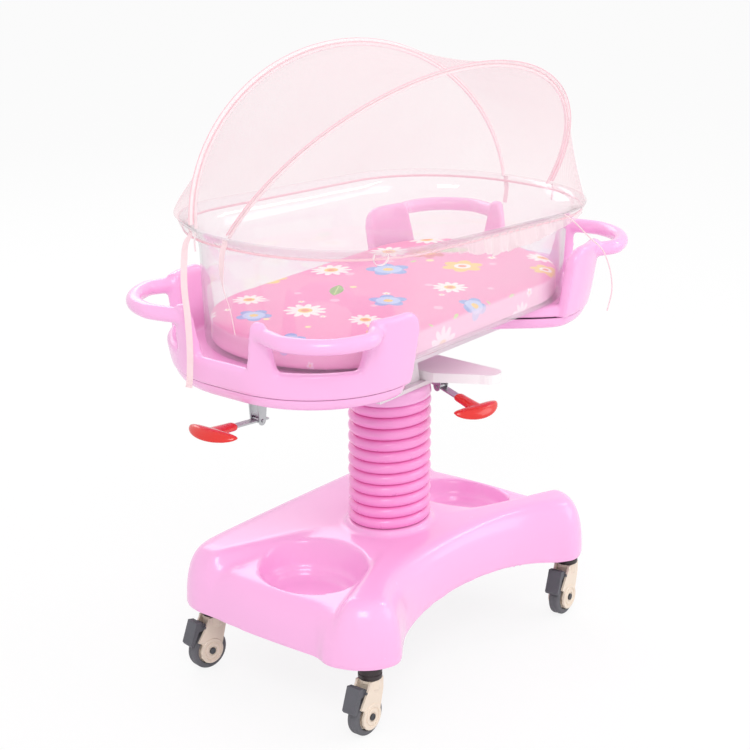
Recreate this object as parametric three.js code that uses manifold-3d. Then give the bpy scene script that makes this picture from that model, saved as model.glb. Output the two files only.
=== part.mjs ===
// Hospital bassinet: a clear basin in a moulded tray that tilts on a gas-sprung column,
// over a moulded base with four braked swivel casters. Millimetres, +Z up.
// The origin is on the floor under the column. -X is the head end, -Y the right side.

import * as THREE from 'three';
import { mergeVertices } from 'three/addons/utils/BufferGeometryUtils.js';
import Module from 'manifold-3d';

const wasm = await Module();
wasm.setup();

// Clearances
const SEAT_GAP = 0.3;
const RUNNING_GAP = 0.4;

// Casters
const WHEEL_DIAMETER = 75;
const CASTER_TRAIL = 15;
const TYRE_WIDTH = 22;
const TYRE_DEPTH = 11;
const FORK_PLATE = 4;
const FORK_CLEARANCE = 1.5;
const FORK_BOSS_DIAMETER = 50;
const CROWN_RISE = 29;
const CROWN_DIAMETER = 40;
const COLLAR_DIAMETER = 43;
const COLLAR_HEIGHT = 25;
const STEM_DIAMETER = 12;
const STEM_LENGTH = 18;
const AXLE_DIAMETER = 8;
const AXLE_HEAD_DIAMETER = 13;
const PEDAL_PIN_DIAMETER = 5;
const PEDAL_WIDTH = 28;
// Swivel heading of each caster's trail, in degrees from -X towards +Y
const CASTER_HEADINGS = { head_right: 0, head_left: 12, foot_right: -5, foot_left: 6 };
// The right-hand casters stand wider apart than the left-hand ones
const CASTER_RIGHT = { x: 315, y: -201 };
const CASTER_LEFT = { x: 294, y: 190 };

// Base
const BASE_CREST = 246;
const BASE_WALL = 4;
const BASE_ARCH = 20;
const BASE_ARCH_HALF_LENGTH = 250;
const TROUGH_DEPTH = 28;
const TROUGH_START = 80;
const TROUGH_END = 330;
const TROUGH_HALF_WIDTH = 62;
const TROUGH_SPREAD = 0.35;
const BOWL_CENTRE = 230;
const BOWL_HALF_LENGTH = 98;
const BOWL_HALF_WIDTH = 110;
const BOWL_FLOOR = 172;
const BOWL_DRAFT = 24;
const BOWL_POST_DIAMETER = 28;
const BOSS_HEIGHT = 10;
const BOSS_LAND = 2;
const BOSS_DRAFT = 7;
const COLUMN_HOLE_CLEARANCE = 6;
const FRAME_DEPTH = 22;
const FRAME_SPINE_WIDTH = 64;
const FRAME_RAIL_WIDTH = 18;
const COLUMN_PAD_HALF_LENGTH = 92;
const COLUMN_PAD_HALF_WIDTH = 70;
const BASE_PLAN_STEPS = 22;
// Head half of the base's plan at its lower edge, from the left side's middle to the right side's waist
const BASE_PLAN = [
  [0, 247], [-120, 247], [-235, 246], [-292, 242], [-328, 224], [-345, 190], [-348, 144],
  [-352, 100], [-356, 40], [-357, -30], [-355, -108], [-367, -138], [-366, -168], [-349, -206],
  [-317, -234], [-280, -241], [-242, -218], [-200, -194], [-140, -176], [-70, -166], [0, -163],
];

// Column
const OUTER_TUBE_DIAMETER = 80;
const INNER_TUBE_DIAMETER = 68;
const TUBE_WALL = 3;
const OUTER_TUBE_LENGTH = 284;
const INNER_TUBE_LENGTH = 316;
const BUSH_LENGTH = 34;
const GAS_CYLINDER_DIAMETER = 28;
const GAS_CYLINDER_LENGTH = 250;
const GAS_ROD_DIAMETER = 10;
const GAS_ROD_LENGTH = 312;

// Bellows
const BELLOWS_HALF_LENGTH = 84;
const BELLOWS_HALF_WIDTH = 74;
const BELLOWS_HEIGHT = 242;
const BELLOWS_RIBS = 11;
const BELLOWS_RIB_DEPTH = 9;
const BELLOWS_WALL = 3;
const BELLOWS_SIDES = 16;
const COLLAR_RING_HEIGHT = 24;

// Column head, support board and tilt hinge
const HEAD_PLATE_THICKNESS = 8;
const HEAD_PLATE_LENGTH = 224;
const HEAD_PLATE_WIDTH = 130;
const HEAD_LUG_SPACING = 96;
const HEAD_LUG_WIDTH = 10;
const HEAD_LUG_LENGTH = 44;
const TILT_PIVOT_RISE = 44;
const TILT_PIN_DIAMETER = 14;
const BOARD_THICKNESS = 18;
const BOARD_NEAR_X = 26;
const BOARD_FAR_X = 120;
const BOARD_HALF_SPAN = 178;
const BOARD_TIP_TAPER = 46;

// Bed: tray, subframe and basin
const TRAY_BOTTOM_ABOVE_PIVOT = 35;
const TRAY_HALF_LENGTH = 455;
const TRAY_HALF_WIDTH = 228;
const TRAY_CORNER = 195;
const TRAY_WAIST = 118;
const TRAY_WAIST_HALF_LENGTH = 115;
const TRAY_LOWER_DEPTH = 21;
const TRAY_LOWER_TAPER = 14;
const TRAY_SHELL = 5;
const TRAY_FLOOR_THICKNESS = 11;
const TRAY_FLOOR_RISE = 24;
const EAR_WALL = 22;
const EAR_FLARE = 24;
const EAR_RISE = 136;
const EAR_SILL_RISE = 49;
const EAR_END_X = 235;
const END_GAP_HALF_WIDTH = 61;
const EAR_POST_WIDTH = 42;
const EAR_SIDE_POST_WIDTH = 112;
const BAR_DIAMETER = 28;
const BAR_RISE = 114;
const BAR_REACH = 12;
const BAR_CORNER = 106;
const SUBFRAME_RAIL = 24;
const SUBFRAME_WALL_GAUGE = 3;
const SUBFRAME_HALF_LENGTH = 330;
const SUBFRAME_SPACING = 150;
const SUBFRAME_LUG_WIDTH = 12;
const SUBFRAME_LUG_LENGTH = 40;
const BASIN_HALF_LENGTH = 398;
const BASIN_HALF_WIDTH = 214;
const BASIN_CORNER = 200;
const BASIN_HEIGHT = 203;
const BASIN_WALL = 3;
const RIM_FLARE = 34;
const RIM_LIP_WIDTH = 10;
const RIM_LIP_FALL = 6;
const RIM_SLOPE = 0.065;

// Mattress, net and tapes
const MATTRESS_THICKNESS = 50;
const MATTRESS_CROWN = 8;
const MATTRESS_CLEARANCE = 5;
const NET_THICKNESS = 1.2;
const HOOP_DIAMETER = 5;
const HOOP_NET_CLEARANCE = 4.7;
// Each hoop: where it meets the rim at the head and the foot, and its crown
const HOOP_LEFT = { headY: 100, footY: 45, crownY: 100, rise: 288 };
const HOOP_RIGHT = { headY: 8, footY: -65, crownY: -200, rise: 280 };
const HEM_OVERLAP = 8;
const TAPE_WIDTH = 9;
const TAPE_THICKNESS = 1;
const TIE_CORD_DIAMETER = 2.5;

// Levers and tilt spring
const LEVER_STRIP_WIDTH = 16;
const LEVER_STRIP_THICKNESS = 3;
const LEVER_PIN_DIAMETER = 6;
const LEVER_BRACKET_GAUGE = 2.5;
const LEVER_BRACKET_LENGTH = 28;
const LEVER_TAIL = 20;
const GRIP_WIDTH = 104;
const GRIP_CHORD = 32;
const GRIP_DEPTH = 24;
const GRIP_SOCKET_LENGTH = 52;
const GRIP_SOCKET_WIDTH = 24;
const GRIP_SOCKET_THICKNESS = 15;
const TILT_LEVER_SETBACK = 26;
const TILT_LEVER_DROP = 56;
const TILT_LEVER_REACH = 62;
const TILT_LEVER_PITCH_DEG = 5;
const HEIGHT_LEVER_X = 92;
const HEIGHT_LEVER_Y = -50;
const HEIGHT_LEVER_DROP = 22;
const HEIGHT_LEVER_REACH = 48;
const HEIGHT_LEVER_PITCH_DEG = -10;
const HEIGHT_LEVER_HEADING_DEG = -102;
const TILT_SPRING_LOWER_X = -85;
const TILT_SPRING_LOWER_RISE = 15;
const TILT_SPRING_SETBACK = 90;
const TILT_SPRING_UPPER_DROP = 18;
const TILT_SPRING_DIAMETER = 18;
const TILT_SPRING_ROD_DIAMETER = 8;
const TILT_SPRING_EYE_DIAMETER = 20;
const TILT_SPRING_EYE_WIDTH = 12;
const TILT_SPRING_LUG_GAUGE = 5;
const SPRING_LUG_HALF_LENGTH = 11;
const TILT_SPRING_PIN_DIAMETER = 8;
const TILT_SPRING_OPEN_CLEARANCE = 2;

// Heights worked out from the sizes above
const WHEEL_RADIUS = WHEEL_DIAMETER / 2;
const CROWN_TOP = WHEEL_DIAMETER + CROWN_RISE;
const COLLAR_BOTTOM = CROWN_TOP + SEAT_GAP;
const BASE_BOTTOM = COLLAR_BOTTOM + COLLAR_HEIGHT + SEAT_GAP;
const FRAME_TOP = BASE_BOTTOM + FRAME_DEPTH;
const BELLOWS_BOTTOM = BASE_CREST + BOSS_HEIGHT + SEAT_GAP;
const BELLOWS_TOP = BELLOWS_BOTTOM + BELLOWS_HEIGHT;
const COLLAR_RING_BOTTOM = BELLOWS_TOP + SEAT_GAP;
const HEAD_BOTTOM = COLLAR_RING_BOTTOM + COLLAR_RING_HEIGHT + SEAT_GAP;
const HEAD_TOP = HEAD_BOTTOM + HEAD_PLATE_THICKNESS;
const PIVOT_Z = HEAD_TOP + TILT_PIVOT_RISE;
const TRAY_BOTTOM = PIVOT_Z + TRAY_BOTTOM_ABOVE_PIVOT;
const PARTING_Z = TRAY_BOTTOM + TRAY_LOWER_DEPTH;
const FLOOR_TOP = PARTING_Z + TRAY_FLOOR_RISE;
const BASIN_BOTTOM = FLOOR_TOP + SEAT_GAP;
const SUBFRAME_TOP = TRAY_BOTTOM - SEAT_GAP;

const FINISHES = {
  pink: { color: 0xf6a9e0, roughness: 0.32, metalness: 0 },
  bellows: { color: 0xf281c4, roughness: 0.38, metalness: 0 },
  steel: { color: 0xb9bcc0, roughness: 0.35, metalness: 0.9 },
  darkSteel: { color: 0x4a4b50, roughness: 0.45, metalness: 0.8 },
  black: { color: 0x2b2428, roughness: 0.5, metalness: 0 },
  beige: { color: 0xeee0cc, roughness: 0.4, metalness: 0 },
  rubber: { color: 0x57565b, roughness: 0.7, metalness: 0 },
  white: { color: 0xf2eeee, roughness: 0.45, metalness: 0 },
  red: { color: 0xe3231b, roughness: 0.3, metalness: 0 },
  clear: { color: 0xf3f0f4, roughness: 0.08, metalness: 0, transparent: true, opacity: 0.3 },
  fabric: { color: 0xf79cc9, roughness: 0.85, metalness: 0 },
  net: { color: 0xfbdfe6, roughness: 0.9, metalness: 0, transparent: true, opacity: 0.4 },
};

const model = new THREE.Group();

function addPiece(name, geometry, finish, parent = model) {
  const piece = new THREE.Mesh(geometry, new THREE.MeshStandardMaterial(FINISHES[finish]));
  piece.name = name;
  parent.add(piece);
  return piece;
}

const point = (x, y, z) => new THREE.Vector3(x, y, z);

// A position-only geometry whose triangles all face outwards.
function closedGeometry(points, triangles) {
  const volume = triangles.reduce((sum, [a, b, c]) => {
    const normal = points[b].clone().cross(points[c]);
    return sum + points[a].dot(normal);
  }, 0);
  const ordered = triangles.map(([a, b, c]) => (volume < 0 ? [a, c, b] : [a, b, c]));
  const geometry = new THREE.BufferGeometry();
  const coordinates = points.flatMap((p) => p.toArray());
  geometry.setAttribute('position', new THREE.Float32BufferAttribute(coordinates, 3));
  geometry.setIndex(ordered.flat());
  return geometry;
}

// Triangles that close one loop of points, found in the loop's own plane.
function capTriangles(loop) {
  const normal = loop.reduce((sum, p, i) => {
    return sum.add(p.clone().cross(loop[(i + 1) % loop.length]));
  }, point(0, 0, 0)).normalize();
  const across = loop[1].clone().sub(loop[0]).projectOnPlane(normal).normalize();
  const up = normal.clone().cross(across);
  const flat = loop.map((p) => new THREE.Vector2(p.dot(across), p.dot(up)));
  return THREE.ShapeUtils.triangulateShape(flat, []);
}

// A closed body through rings of equal length: capped at both ends, or joined end to start.
function loft(rings, joined = false) {
  const count = rings[0].length;
  const points = rings.flat();
  const triangles = [];
  const spans = joined ? rings.length : rings.length - 1;
  for (let k = 0; k < spans; k += 1) {
    const a = k * count;
    const b = ((k + 1) % rings.length) * count;
    for (let j = 0; j < count; j += 1) {
      const next = (j + 1) % count;
      triangles.push([a + j, a + next, b + next], [a + j, b + next, b + j]);
    }
  }
  if (!joined) {
    const last = (rings.length - 1) * count;
    capTriangles(rings[0]).forEach(([a, b, c]) => triangles.push([a, c, b]));
    capTriangles(rings.at(-1)).forEach(([a, b, c]) => triangles.push([last + a, last + b, last + c]));
  }
  return closedGeometry(points, triangles);
}

// A thin closed sheet between two matching grids of points, with a strip of its own along each edge.
function sheetBody(outer, inner) {
  const rows = outer.length;
  const columns = outer[0].length;
  const points = [...outer.flat(), ...inner.flat()];
  const under = rows * columns;
  const at = (row, column) => row * columns + column;
  const triangles = [];
  const quad = (a, b, c, d) => triangles.push([a, b, c], [a, c, d]);
  const edge = (a, b) => quad(a, a + under, b + under, b);
  for (let row = 0; row < rows - 1; row += 1) {
    for (let column = 0; column < columns - 1; column += 1) {
      // Both faces are split along the same diagonal, so they stay one thickness apart.
      const [a, b] = [at(row, column), at(row, column + 1)];
      const [c, d] = [at(row + 1, column + 1), at(row + 1, column)];
      quad(a, b, c, d);
      quad(a + under, d + under, c + under, b + under);
    }
    edge(at(row + 1, 0), at(row, 0));
    edge(at(row, columns - 1), at(row + 1, columns - 1));
  }
  for (let column = 0; column < columns - 1; column += 1) {
    edge(at(0, column), at(0, column + 1));
    edge(at(rows - 1, column + 1), at(rows - 1, column));
  }
  return closedGeometry(points, triangles);
}

function toSolid(geometry) {
  const bare = geometry.clone();
  bare.deleteAttribute('normal');
  bare.deleteAttribute('uv');
  const merged = mergeVertices(bare, 1e-4);
  return new wasm.Manifold(new wasm.Mesh({
    numProp: 3,
    vertProperties: merged.attributes.position.array,
    triVerts: Uint32Array.from(merged.index.array),
  }));
}

function toGeometry(solid) {
  const { vertProperties, triVerts } = solid.getMesh();
  const geometry = new THREE.BufferGeometry();
  geometry.setAttribute('position', new THREE.BufferAttribute(vertProperties.slice(), 3));
  geometry.setIndex(new THREE.BufferAttribute(triVerts.slice(), 1));
  return geometry;
}

function join(first, ...rest) {
  return toGeometry(rest.reduce((sum, g) => sum.add(toSolid(g)), toSolid(first)));
}

function cut(first, ...rest) {
  return toGeometry(rest.reduce((sum, g) => sum.subtract(toSolid(g)), toSolid(first)));
}

function box(x0, x1, y0, y1, z0, z1) {
  const geometry = new THREE.BoxGeometry(x1 - x0, y1 - y0, z1 - z0);
  return geometry.translate((x0 + x1) / 2, (y0 + y1) / 2, (z0 + z1) / 2);
}

// A solid of revolution about Z through (radius, height) pairs that start and end on the axis.
function revolve(profile, sides) {
  const geometry = new THREE.LatheGeometry(profile.map(([r, z]) => new THREE.Vector2(r, z)), sides);
  return geometry.rotateX(Math.PI / 2);
}

// A round bar about Z.
function rod(radius, z0, z1, sides = 16) {
  return revolve([[0, z0], [radius, z0], [radius, z1], [0, z1]], sides);
}

// A tube about Z: its profile closes on itself.
function tube(outer, inner, z0, z1, sides = 20) {
  return revolve([[inner, z0], [outer, z0], [outer, z1], [inner, z1], [inner, z0]], sides);
}

// A round bar along Y, centred on a point.
function rodAlongY(radius, half, x, z, sides = 10) {
  return rod(radius, -half, half, sides).rotateX(Math.PI / 2).translate(x, 0, z);
}

// An outline in the XZ plane given width along Y, from y0 to y1.
function plateXZ(shape, y0, y1, curveSegments = 4) {
  const geometry = new THREE.ExtrudeGeometry(shape, { depth: y1 - y0, bevelEnabled: false, curveSegments });
  return geometry.rotateX(Math.PI / 2).translate(0, y1, 0);
}

// An outline in plan given height from z0 to z1.
function plateXY(shape, z0, z1, curveSegments = 8) {
  const geometry = new THREE.ExtrudeGeometry(shape, { depth: z1 - z0, bevelEnabled: false, curveSegments });
  return geometry.translate(0, 0, z0);
}

function polygon(corners) {
  return new THREE.Shape(corners.map(([x, y]) => new THREE.Vector2(x, y)));
}

const smoothstep = THREE.MathUtils.smoothstep;

// Rounded rectangle in plan, grown outwards by an offset: points and outward normals.
function roundedOutline(halfLength, halfWidth, corner, offset, arcSteps) {
  const stations = [];
  for (let quadrant = 0; quadrant < 4; quadrant += 1) {
    const sx = quadrant === 0 || quadrant === 3 ? 1 : -1;
    const sy = quadrant < 2 ? 1 : -1;
    for (let i = 0; i <= arcSteps; i += 1) {
      const angle = (quadrant + i / arcSteps) * Math.PI / 2;
      const normal = new THREE.Vector2(Math.cos(angle), Math.sin(angle));
      const x = sx * (halfLength - corner) + (corner + offset) * normal.x;
      const y = sy * (halfWidth - corner) + (corner + offset) * normal.y;
      stations.push({ x, y, normal });
    }
  }
  return stations;
}

// Casters

const forkInnerHalf = TYRE_WIDTH / 2 + FORK_CLEARANCE;
const forkOuterHalf = forkInnerHalf + FORK_PLATE;
const PEDAL_PIVOT = { x: CASTER_TRAIL + 15, z: WHEEL_DIAMETER + 13 };

function casterCollar() {
  const stemTop = COLLAR_BOTTOM + COLLAR_HEIGHT + STEM_LENGTH;
  const collarTop = COLLAR_BOTTOM + COLLAR_HEIGHT;
  return revolve([
    [0, COLLAR_BOTTOM],
    [COLLAR_DIAMETER / 2, COLLAR_BOTTOM],
    [COLLAR_DIAMETER / 2, collarTop],
    [STEM_DIAMETER / 2, collarTop],
    [STEM_DIAMETER / 2, stemTop],
    [0, stemTop],
  ], 12);
}

// The fork's cheek: round boss at the axle, straight leading edge, and a flag that backs the pedal.
function forkCheek() {
  const boss = FORK_BOSS_DIAMETER / 2;
  const leadingX = CASTER_TRAIL - boss * 0.94;
  const shape = new THREE.Shape();
  shape.moveTo(-CROWN_DIAMETER / 2 + 3, CROWN_TOP);
  shape.lineTo(-CROWN_DIAMETER / 2 + 3, CROWN_TOP - 22);
  shape.lineTo(leadingX, WHEEL_RADIUS + boss * 0.34);
  shape.absarc(CASTER_TRAIL, WHEEL_RADIUS, boss, Math.PI * 0.89, Math.PI * 2.2, false);
  shape.lineTo(CASTER_TRAIL + boss * 0.92, WHEEL_RADIUS + boss * 0.8);
  shape.lineTo(CASTER_TRAIL + 30, WHEEL_RADIUS + boss * 0.92);
  shape.lineTo(CASTER_TRAIL + 6, CROWN_TOP - 6);
  shape.lineTo(CASTER_TRAIL + 5, CROWN_TOP);
  return shape;
}

function casterFork() {
  const cheek = forkCheek();
  const crown = revolve([
    [0, WHEEL_DIAMETER + 5],
    [CROWN_DIAMETER / 2 - 4, WHEEL_DIAMETER + 5],
    [CROWN_DIAMETER / 2, WHEEL_DIAMETER + 12],
    [CROWN_DIAMETER / 2, CROWN_TOP],
    [0, CROWN_TOP],
  ], 12);
  const fork = join(
    crown,
    plateXZ(cheek, -forkOuterHalf, -forkInnerHalf),
    plateXZ(cheek, forkInnerHalf, forkOuterHalf),
  );
  const pinHole = PEDAL_PIN_DIAMETER / 2 + RUNNING_GAP;
  return cut(
    fork,
    rodAlongY(AXLE_DIAMETER / 2 + SEAT_GAP, forkOuterHalf + 1, CASTER_TRAIL, WHEEL_RADIUS),
    rodAlongY(pinHole, forkOuterHalf + 1, PEDAL_PIVOT.x, PEDAL_PIVOT.z, 8),
    pedalRoom(),
  );
}

// Room inside the crown for the pedal's arm as it swings.
function pedalRoom() {
  const half = forkInnerHalf;
  return box(CASTER_TRAIL + 1, CASTER_TRAIL + 40, -half, half, WHEEL_DIAMETER + 1, CROWN_TOP - 5);
}

function casterAxle() {
  const head = AXLE_HEAD_DIAMETER / 2;
  const half = forkOuterHalf + SEAT_GAP;
  const headThickness = 2.5;
  const shank = AXLE_DIAMETER / 2;
  return revolve([
    [0, -half - headThickness],
    [head, -half - headThickness],
    [head, -half],
    [shank, -half],
    [shank, half],
    [head, half],
    [head, half + headThickness],
    [0, half + headThickness],
  ], 8).rotateX(Math.PI / 2).translate(CASTER_TRAIL, 0, WHEEL_RADIUS);
}

function wheelCore() {
  const outer = WHEEL_RADIUS - TYRE_DEPTH;
  const bore = AXLE_DIAMETER / 2 + RUNNING_GAP;
  const half = TYRE_WIDTH / 2;
  const hub = bore + 8;
  const web = half - 5;
  return revolve([
    [bore, -half - 1], [hub, -half - 1], [hub + 2, -web], [outer, -web],
    [outer, web], [hub + 2, web], [hub, half + 1], [bore, half + 1],
    [bore, -half - 1],
  ], 10).rotateX(Math.PI / 2).translate(CASTER_TRAIL, 0, WHEEL_RADIUS);
}

function tyre() {
  const inner = WHEEL_RADIUS - TYRE_DEPTH + SEAT_GAP;
  const half = TYRE_WIDTH / 2;
  const shoulder = 4;
  return revolve([
    [inner, -half], [WHEEL_RADIUS - shoulder, -half], [WHEEL_RADIUS, -half + shoulder],
    [WHEEL_RADIUS, half - shoulder], [WHEEL_RADIUS - shoulder, half], [inner, half],
    [inner, -half],
  ], 20).rotateX(Math.PI / 2).translate(CASTER_TRAIL, 0, WHEEL_RADIUS);
}

function brakePedal() {
  const slab = polygon([
    [CASTER_TRAIL + 20, CROWN_TOP - 5], [CASTER_TRAIL + 32, CROWN_TOP - 3],
    [CASTER_TRAIL + 46, WHEEL_RADIUS + 22], [CASTER_TRAIL + 43, WHEEL_RADIUS + 17],
    [CASTER_TRAIL + 38, WHEEL_RADIUS + 20], [CASTER_TRAIL + 29, CROWN_TOP - 26],
  ]);
  const arm = polygon([
    [PEDAL_PIVOT.x - 5, PEDAL_PIVOT.z - 5], [CASTER_TRAIL + 34, PEDAL_PIVOT.z - 8],
    [CASTER_TRAIL + 32, PEDAL_PIVOT.z + 6], [PEDAL_PIVOT.x - 5, PEDAL_PIVOT.z + 5],
  ]);
  const armHalf = forkInnerHalf - RUNNING_GAP;
  return join(
    plateXZ(slab, -PEDAL_WIDTH / 2, PEDAL_WIDTH / 2),
    plateXZ(arm, -armHalf, armHalf),
    rodAlongY(PEDAL_PIN_DIAMETER / 2, forkOuterHalf, PEDAL_PIVOT.x, PEDAL_PIVOT.z, 8),
  );
}

// Each caster is drawn with its trail along +X, then turned to its heading.
function addCaster(place, x, y) {
  const caster = new THREE.Group();
  caster.position.set(x, y, 0);
  caster.rotation.z = Math.PI - THREE.MathUtils.degToRad(CASTER_HEADINGS[place]);
  addPiece(`caster_collar_${place}`, casterCollar(), 'black', caster);
  addPiece(`caster_fork_${place}`, casterFork(), 'beige', caster);
  addPiece(`caster_axle_${place}`, casterAxle(), 'darkSteel', caster);
  addPiece(`wheel_core_${place}`, wheelCore(), 'beige', caster);
  addPiece(`tyre_${place}`, tyre(), 'rubber', caster);
  addPiece(`brake_pedal_${place}`, brakePedal(), 'rubber', caster);
  model.add(caster);
}

addCaster('head_right', -CASTER_RIGHT.x, CASTER_RIGHT.y);
addCaster('head_left', -CASTER_LEFT.x, CASTER_LEFT.y);
addCaster('foot_right', CASTER_RIGHT.x, CASTER_RIGHT.y);
addCaster('foot_left', CASTER_LEFT.x, CASTER_LEFT.y);

// Base

function baseOutline() {
  const line = new THREE.SplineCurve(BASE_PLAN.map(([x, y]) => new THREE.Vector2(x, y)));
  const half = line.getSpacedPoints(BASE_PLAN_STEPS);
  const footHalf = half.slice(1, -1).reverse().map((p) => new THREE.Vector2(-p.x, p.y));
  return [...half, ...footHalf];
}

// Moves a closed outline inwards, easing it a little so that tight corners stay open.
function insetOutline(outline, distance) {
  const at = (i) => outline[(i + outline.length) % outline.length];
  const moved = outline.map((p, i) => {
    const along = at(i + 1).clone().sub(at(i - 1)).normalize();
    return p.clone().add(new THREE.Vector2(-along.y, along.x).multiplyScalar(distance));
  });
  const ease = Math.min(0.3, distance * 0.02);
  return moved.map((p, i) => {
    const before = moved[(i + moved.length - 1) % moved.length];
    const after = moved[(i + 1) % moved.length];
    return before.clone().add(after).multiplyScalar(0.5).lerp(p, 1 - ease);
  });
}

// Height of the moulded top inside its shoulder: two legs each end, with a trough between them.
function baseCrest(x, y) {
  const along = smoothstep(Math.abs(x), TROUGH_START, TROUGH_END);
  const edge = TROUGH_HALF_WIDTH + (Math.abs(x) - TROUGH_START) * TROUGH_SPREAD;
  const across = 1 - smoothstep(Math.abs(y), edge - 10, edge + 12);
  return BASE_CREST - TROUGH_DEPTH * along * across;
}

// The lower edge lifts into a shallow arch along both long sides.
function baseFoot(x) {
  return BASE_BOTTOM + BASE_ARCH * Math.max(0, 1 - (x / BASE_ARCH_HALF_LENGTH) ** 2);
}

// Shoulder of the moulding: inward steps, each with the share of the full height it reaches.
const SHOULDER = [[2, 0.36], [3, 0.63], [7, 0.82], [12, 0.92], [18, 0.98]];
const TOP_SHARES = [0.72, 0.4];

// The moulding as a full body; the hollow cut from it starts below its lower edge.
function baseBody(inset, below) {
  let outline = insetOutline(baseOutline(), inset);
  const rings = [outline.map((p) => point(p.x, p.y, below > 0 ? BASE_BOTTOM - below : baseFoot(p.x)))];
  SHOULDER.forEach(([step, share]) => {
    outline = insetOutline(outline, step);
    rings.push(outline.map((p) => {
      const foot = baseFoot(p.x);
      return point(p.x, p.y, foot + (baseCrest(p.x, p.y) - inset - foot) * share);
    }));
  });
  TOP_SHARES.forEach((share) => {
    rings.push(outline.map((p) => {
      const x = p.x * share;
      const y = p.y * share;
      return point(x, y, baseCrest(x, y) - inset);
    }));
  });
  return loft(rings);
}

// An upright oval plug about Z.
function ovalPlug(cx, topLength, topWidth, bottomLength, bottomWidth, z0, z1, sides = 24) {
  const ring = (a, b, z) => Array.from({ length: sides }, (_, i) => {
    const angle = i / sides * Math.PI * 2;
    return point(cx + a * Math.cos(angle), b * Math.sin(angle), z);
  });
  return loft([ring(bottomLength, bottomWidth, z0), ring(topLength, topWidth, z1)]);
}

// The bowl's hollow, grown outwards by a wall.
function bowlPlug(cx, wall) {
  const topLength = BOWL_HALF_LENGTH + wall;
  const topWidth = BOWL_HALF_WIDTH + wall;
  const floorLength = topLength - BOWL_DRAFT;
  const floorWidth = topWidth - BOWL_DRAFT;
  return ovalPlug(cx, topLength, topWidth, floorLength, floorWidth, BOWL_FLOOR - wall, BASE_CREST);
}

function baseCover() {
  const outer = toSolid(baseBody(0, 0));
  let shell = outer.subtract(toSolid(baseBody(BASE_WALL, 1)));
  [-1, 1].forEach((side) => {
    const cx = side * BOWL_CENTRE;
    const post = rod(BOWL_POST_DIAMETER / 2, FRAME_TOP + SEAT_GAP, BOWL_FLOOR - 1, 12).translate(cx, 0, 0);
    shell = shell.add(toSolid(bowlPlug(cx, BASE_WALL)).intersect(outer)).add(toSolid(post));
  });
  [-1, 1].forEach((side) => {
    shell = shell.subtract(toSolid(bowlPlug(side * BOWL_CENTRE, 0)));
  });
  const bossLength = BELLOWS_HALF_LENGTH + BOSS_LAND;
  const bossWidth = BELLOWS_HALF_WIDTH + BOSS_LAND;
  shell = shell.add(toSolid(ovalPlug(
    0, bossLength, bossWidth, bossLength + BOSS_DRAFT, bossWidth + BOSS_DRAFT,
    BASE_CREST - BASE_WALL, BASE_CREST + BOSS_HEIGHT,
  )));
  const holeRadius = OUTER_TUBE_DIAMETER / 2 + COLUMN_HOLE_CLEARANCE;
  const columnHole = rod(holeRadius, BASE_CREST - TROUGH_DEPTH, BASE_CREST + BOSS_HEIGHT + 1, 20);
  return toGeometry(shell.subtract(toSolid(columnHole)));
}

// Steel frame: a spine between two cross rails that carry the casters' stems.
function baseFrame() {
  const z0 = BASE_BOTTOM;
  const half = FRAME_RAIL_WIDTH / 2;
  const spineHalf = FRAME_SPINE_WIDTH / 2;
  const spineEnd = (CASTER_RIGHT.x + CASTER_LEFT.x) / 2;
  const spine = box(-spineEnd, spineEnd, -spineHalf, spineHalf, z0, FRAME_TOP);
  const stems = [CASTER_RIGHT, CASTER_LEFT].flatMap(({ x, y }) => [[-x, y], [x, y]]);
  const rails = [-1, 1].map((side) => plateXY(polygon([
    [side * CASTER_RIGHT.x - half, CASTER_RIGHT.y], [side * CASTER_RIGHT.x + half, CASTER_RIGHT.y],
    [side * CASTER_LEFT.x + half, CASTER_LEFT.y], [side * CASTER_LEFT.x - half, CASTER_LEFT.y],
  ]), z0, FRAME_TOP));
  const pads = stems.map(([x, y]) => rod(half + 1, z0, FRAME_TOP, 12).translate(x, y, 0));
  const columnPad = ovalPlug(
    0, COLUMN_PAD_HALF_LENGTH, COLUMN_PAD_HALF_WIDTH, COLUMN_PAD_HALF_LENGTH, COLUMN_PAD_HALF_WIDTH,
    z0, FRAME_TOP, 14,
  );
  const sockets = stems.map(([x, y]) => {
    const socketTop = BASE_BOTTOM + STEM_LENGTH + SEAT_GAP;
    return rod(STEM_DIAMETER / 2 + SEAT_GAP, z0 - 1, socketTop, 12).translate(x, y, 0);
  });
  return cut(join(spine, ...rails, ...pads, columnPad), ...sockets);
}

addPiece('base_cover', baseCover(), 'pink');
addPiece('base_frame', baseFrame(), 'darkSteel');

// Column

const outerTubeBottom = FRAME_TOP + SEAT_GAP;
const outerTubeTop = outerTubeBottom + OUTER_TUBE_LENGTH;
const innerTubeTop = HEAD_BOTTOM - SEAT_GAP;
const innerTubeBottom = innerTubeTop - INNER_TUBE_LENGTH;
const outerTubeBore = OUTER_TUBE_DIAMETER / 2 - TUBE_WALL;

const outerTube = tube(OUTER_TUBE_DIAMETER / 2, outerTubeBore, outerTubeBottom, outerTubeTop);
const innerTubeBore = INNER_TUBE_DIAMETER / 2 - TUBE_WALL;
const innerTube = tube(INNER_TUBE_DIAMETER / 2, innerTubeBore, innerTubeBottom, innerTubeTop);

addPiece('column_outer_tube', outerTube, 'steel');
addPiece('column_inner_tube', innerTube, 'steel');

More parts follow.
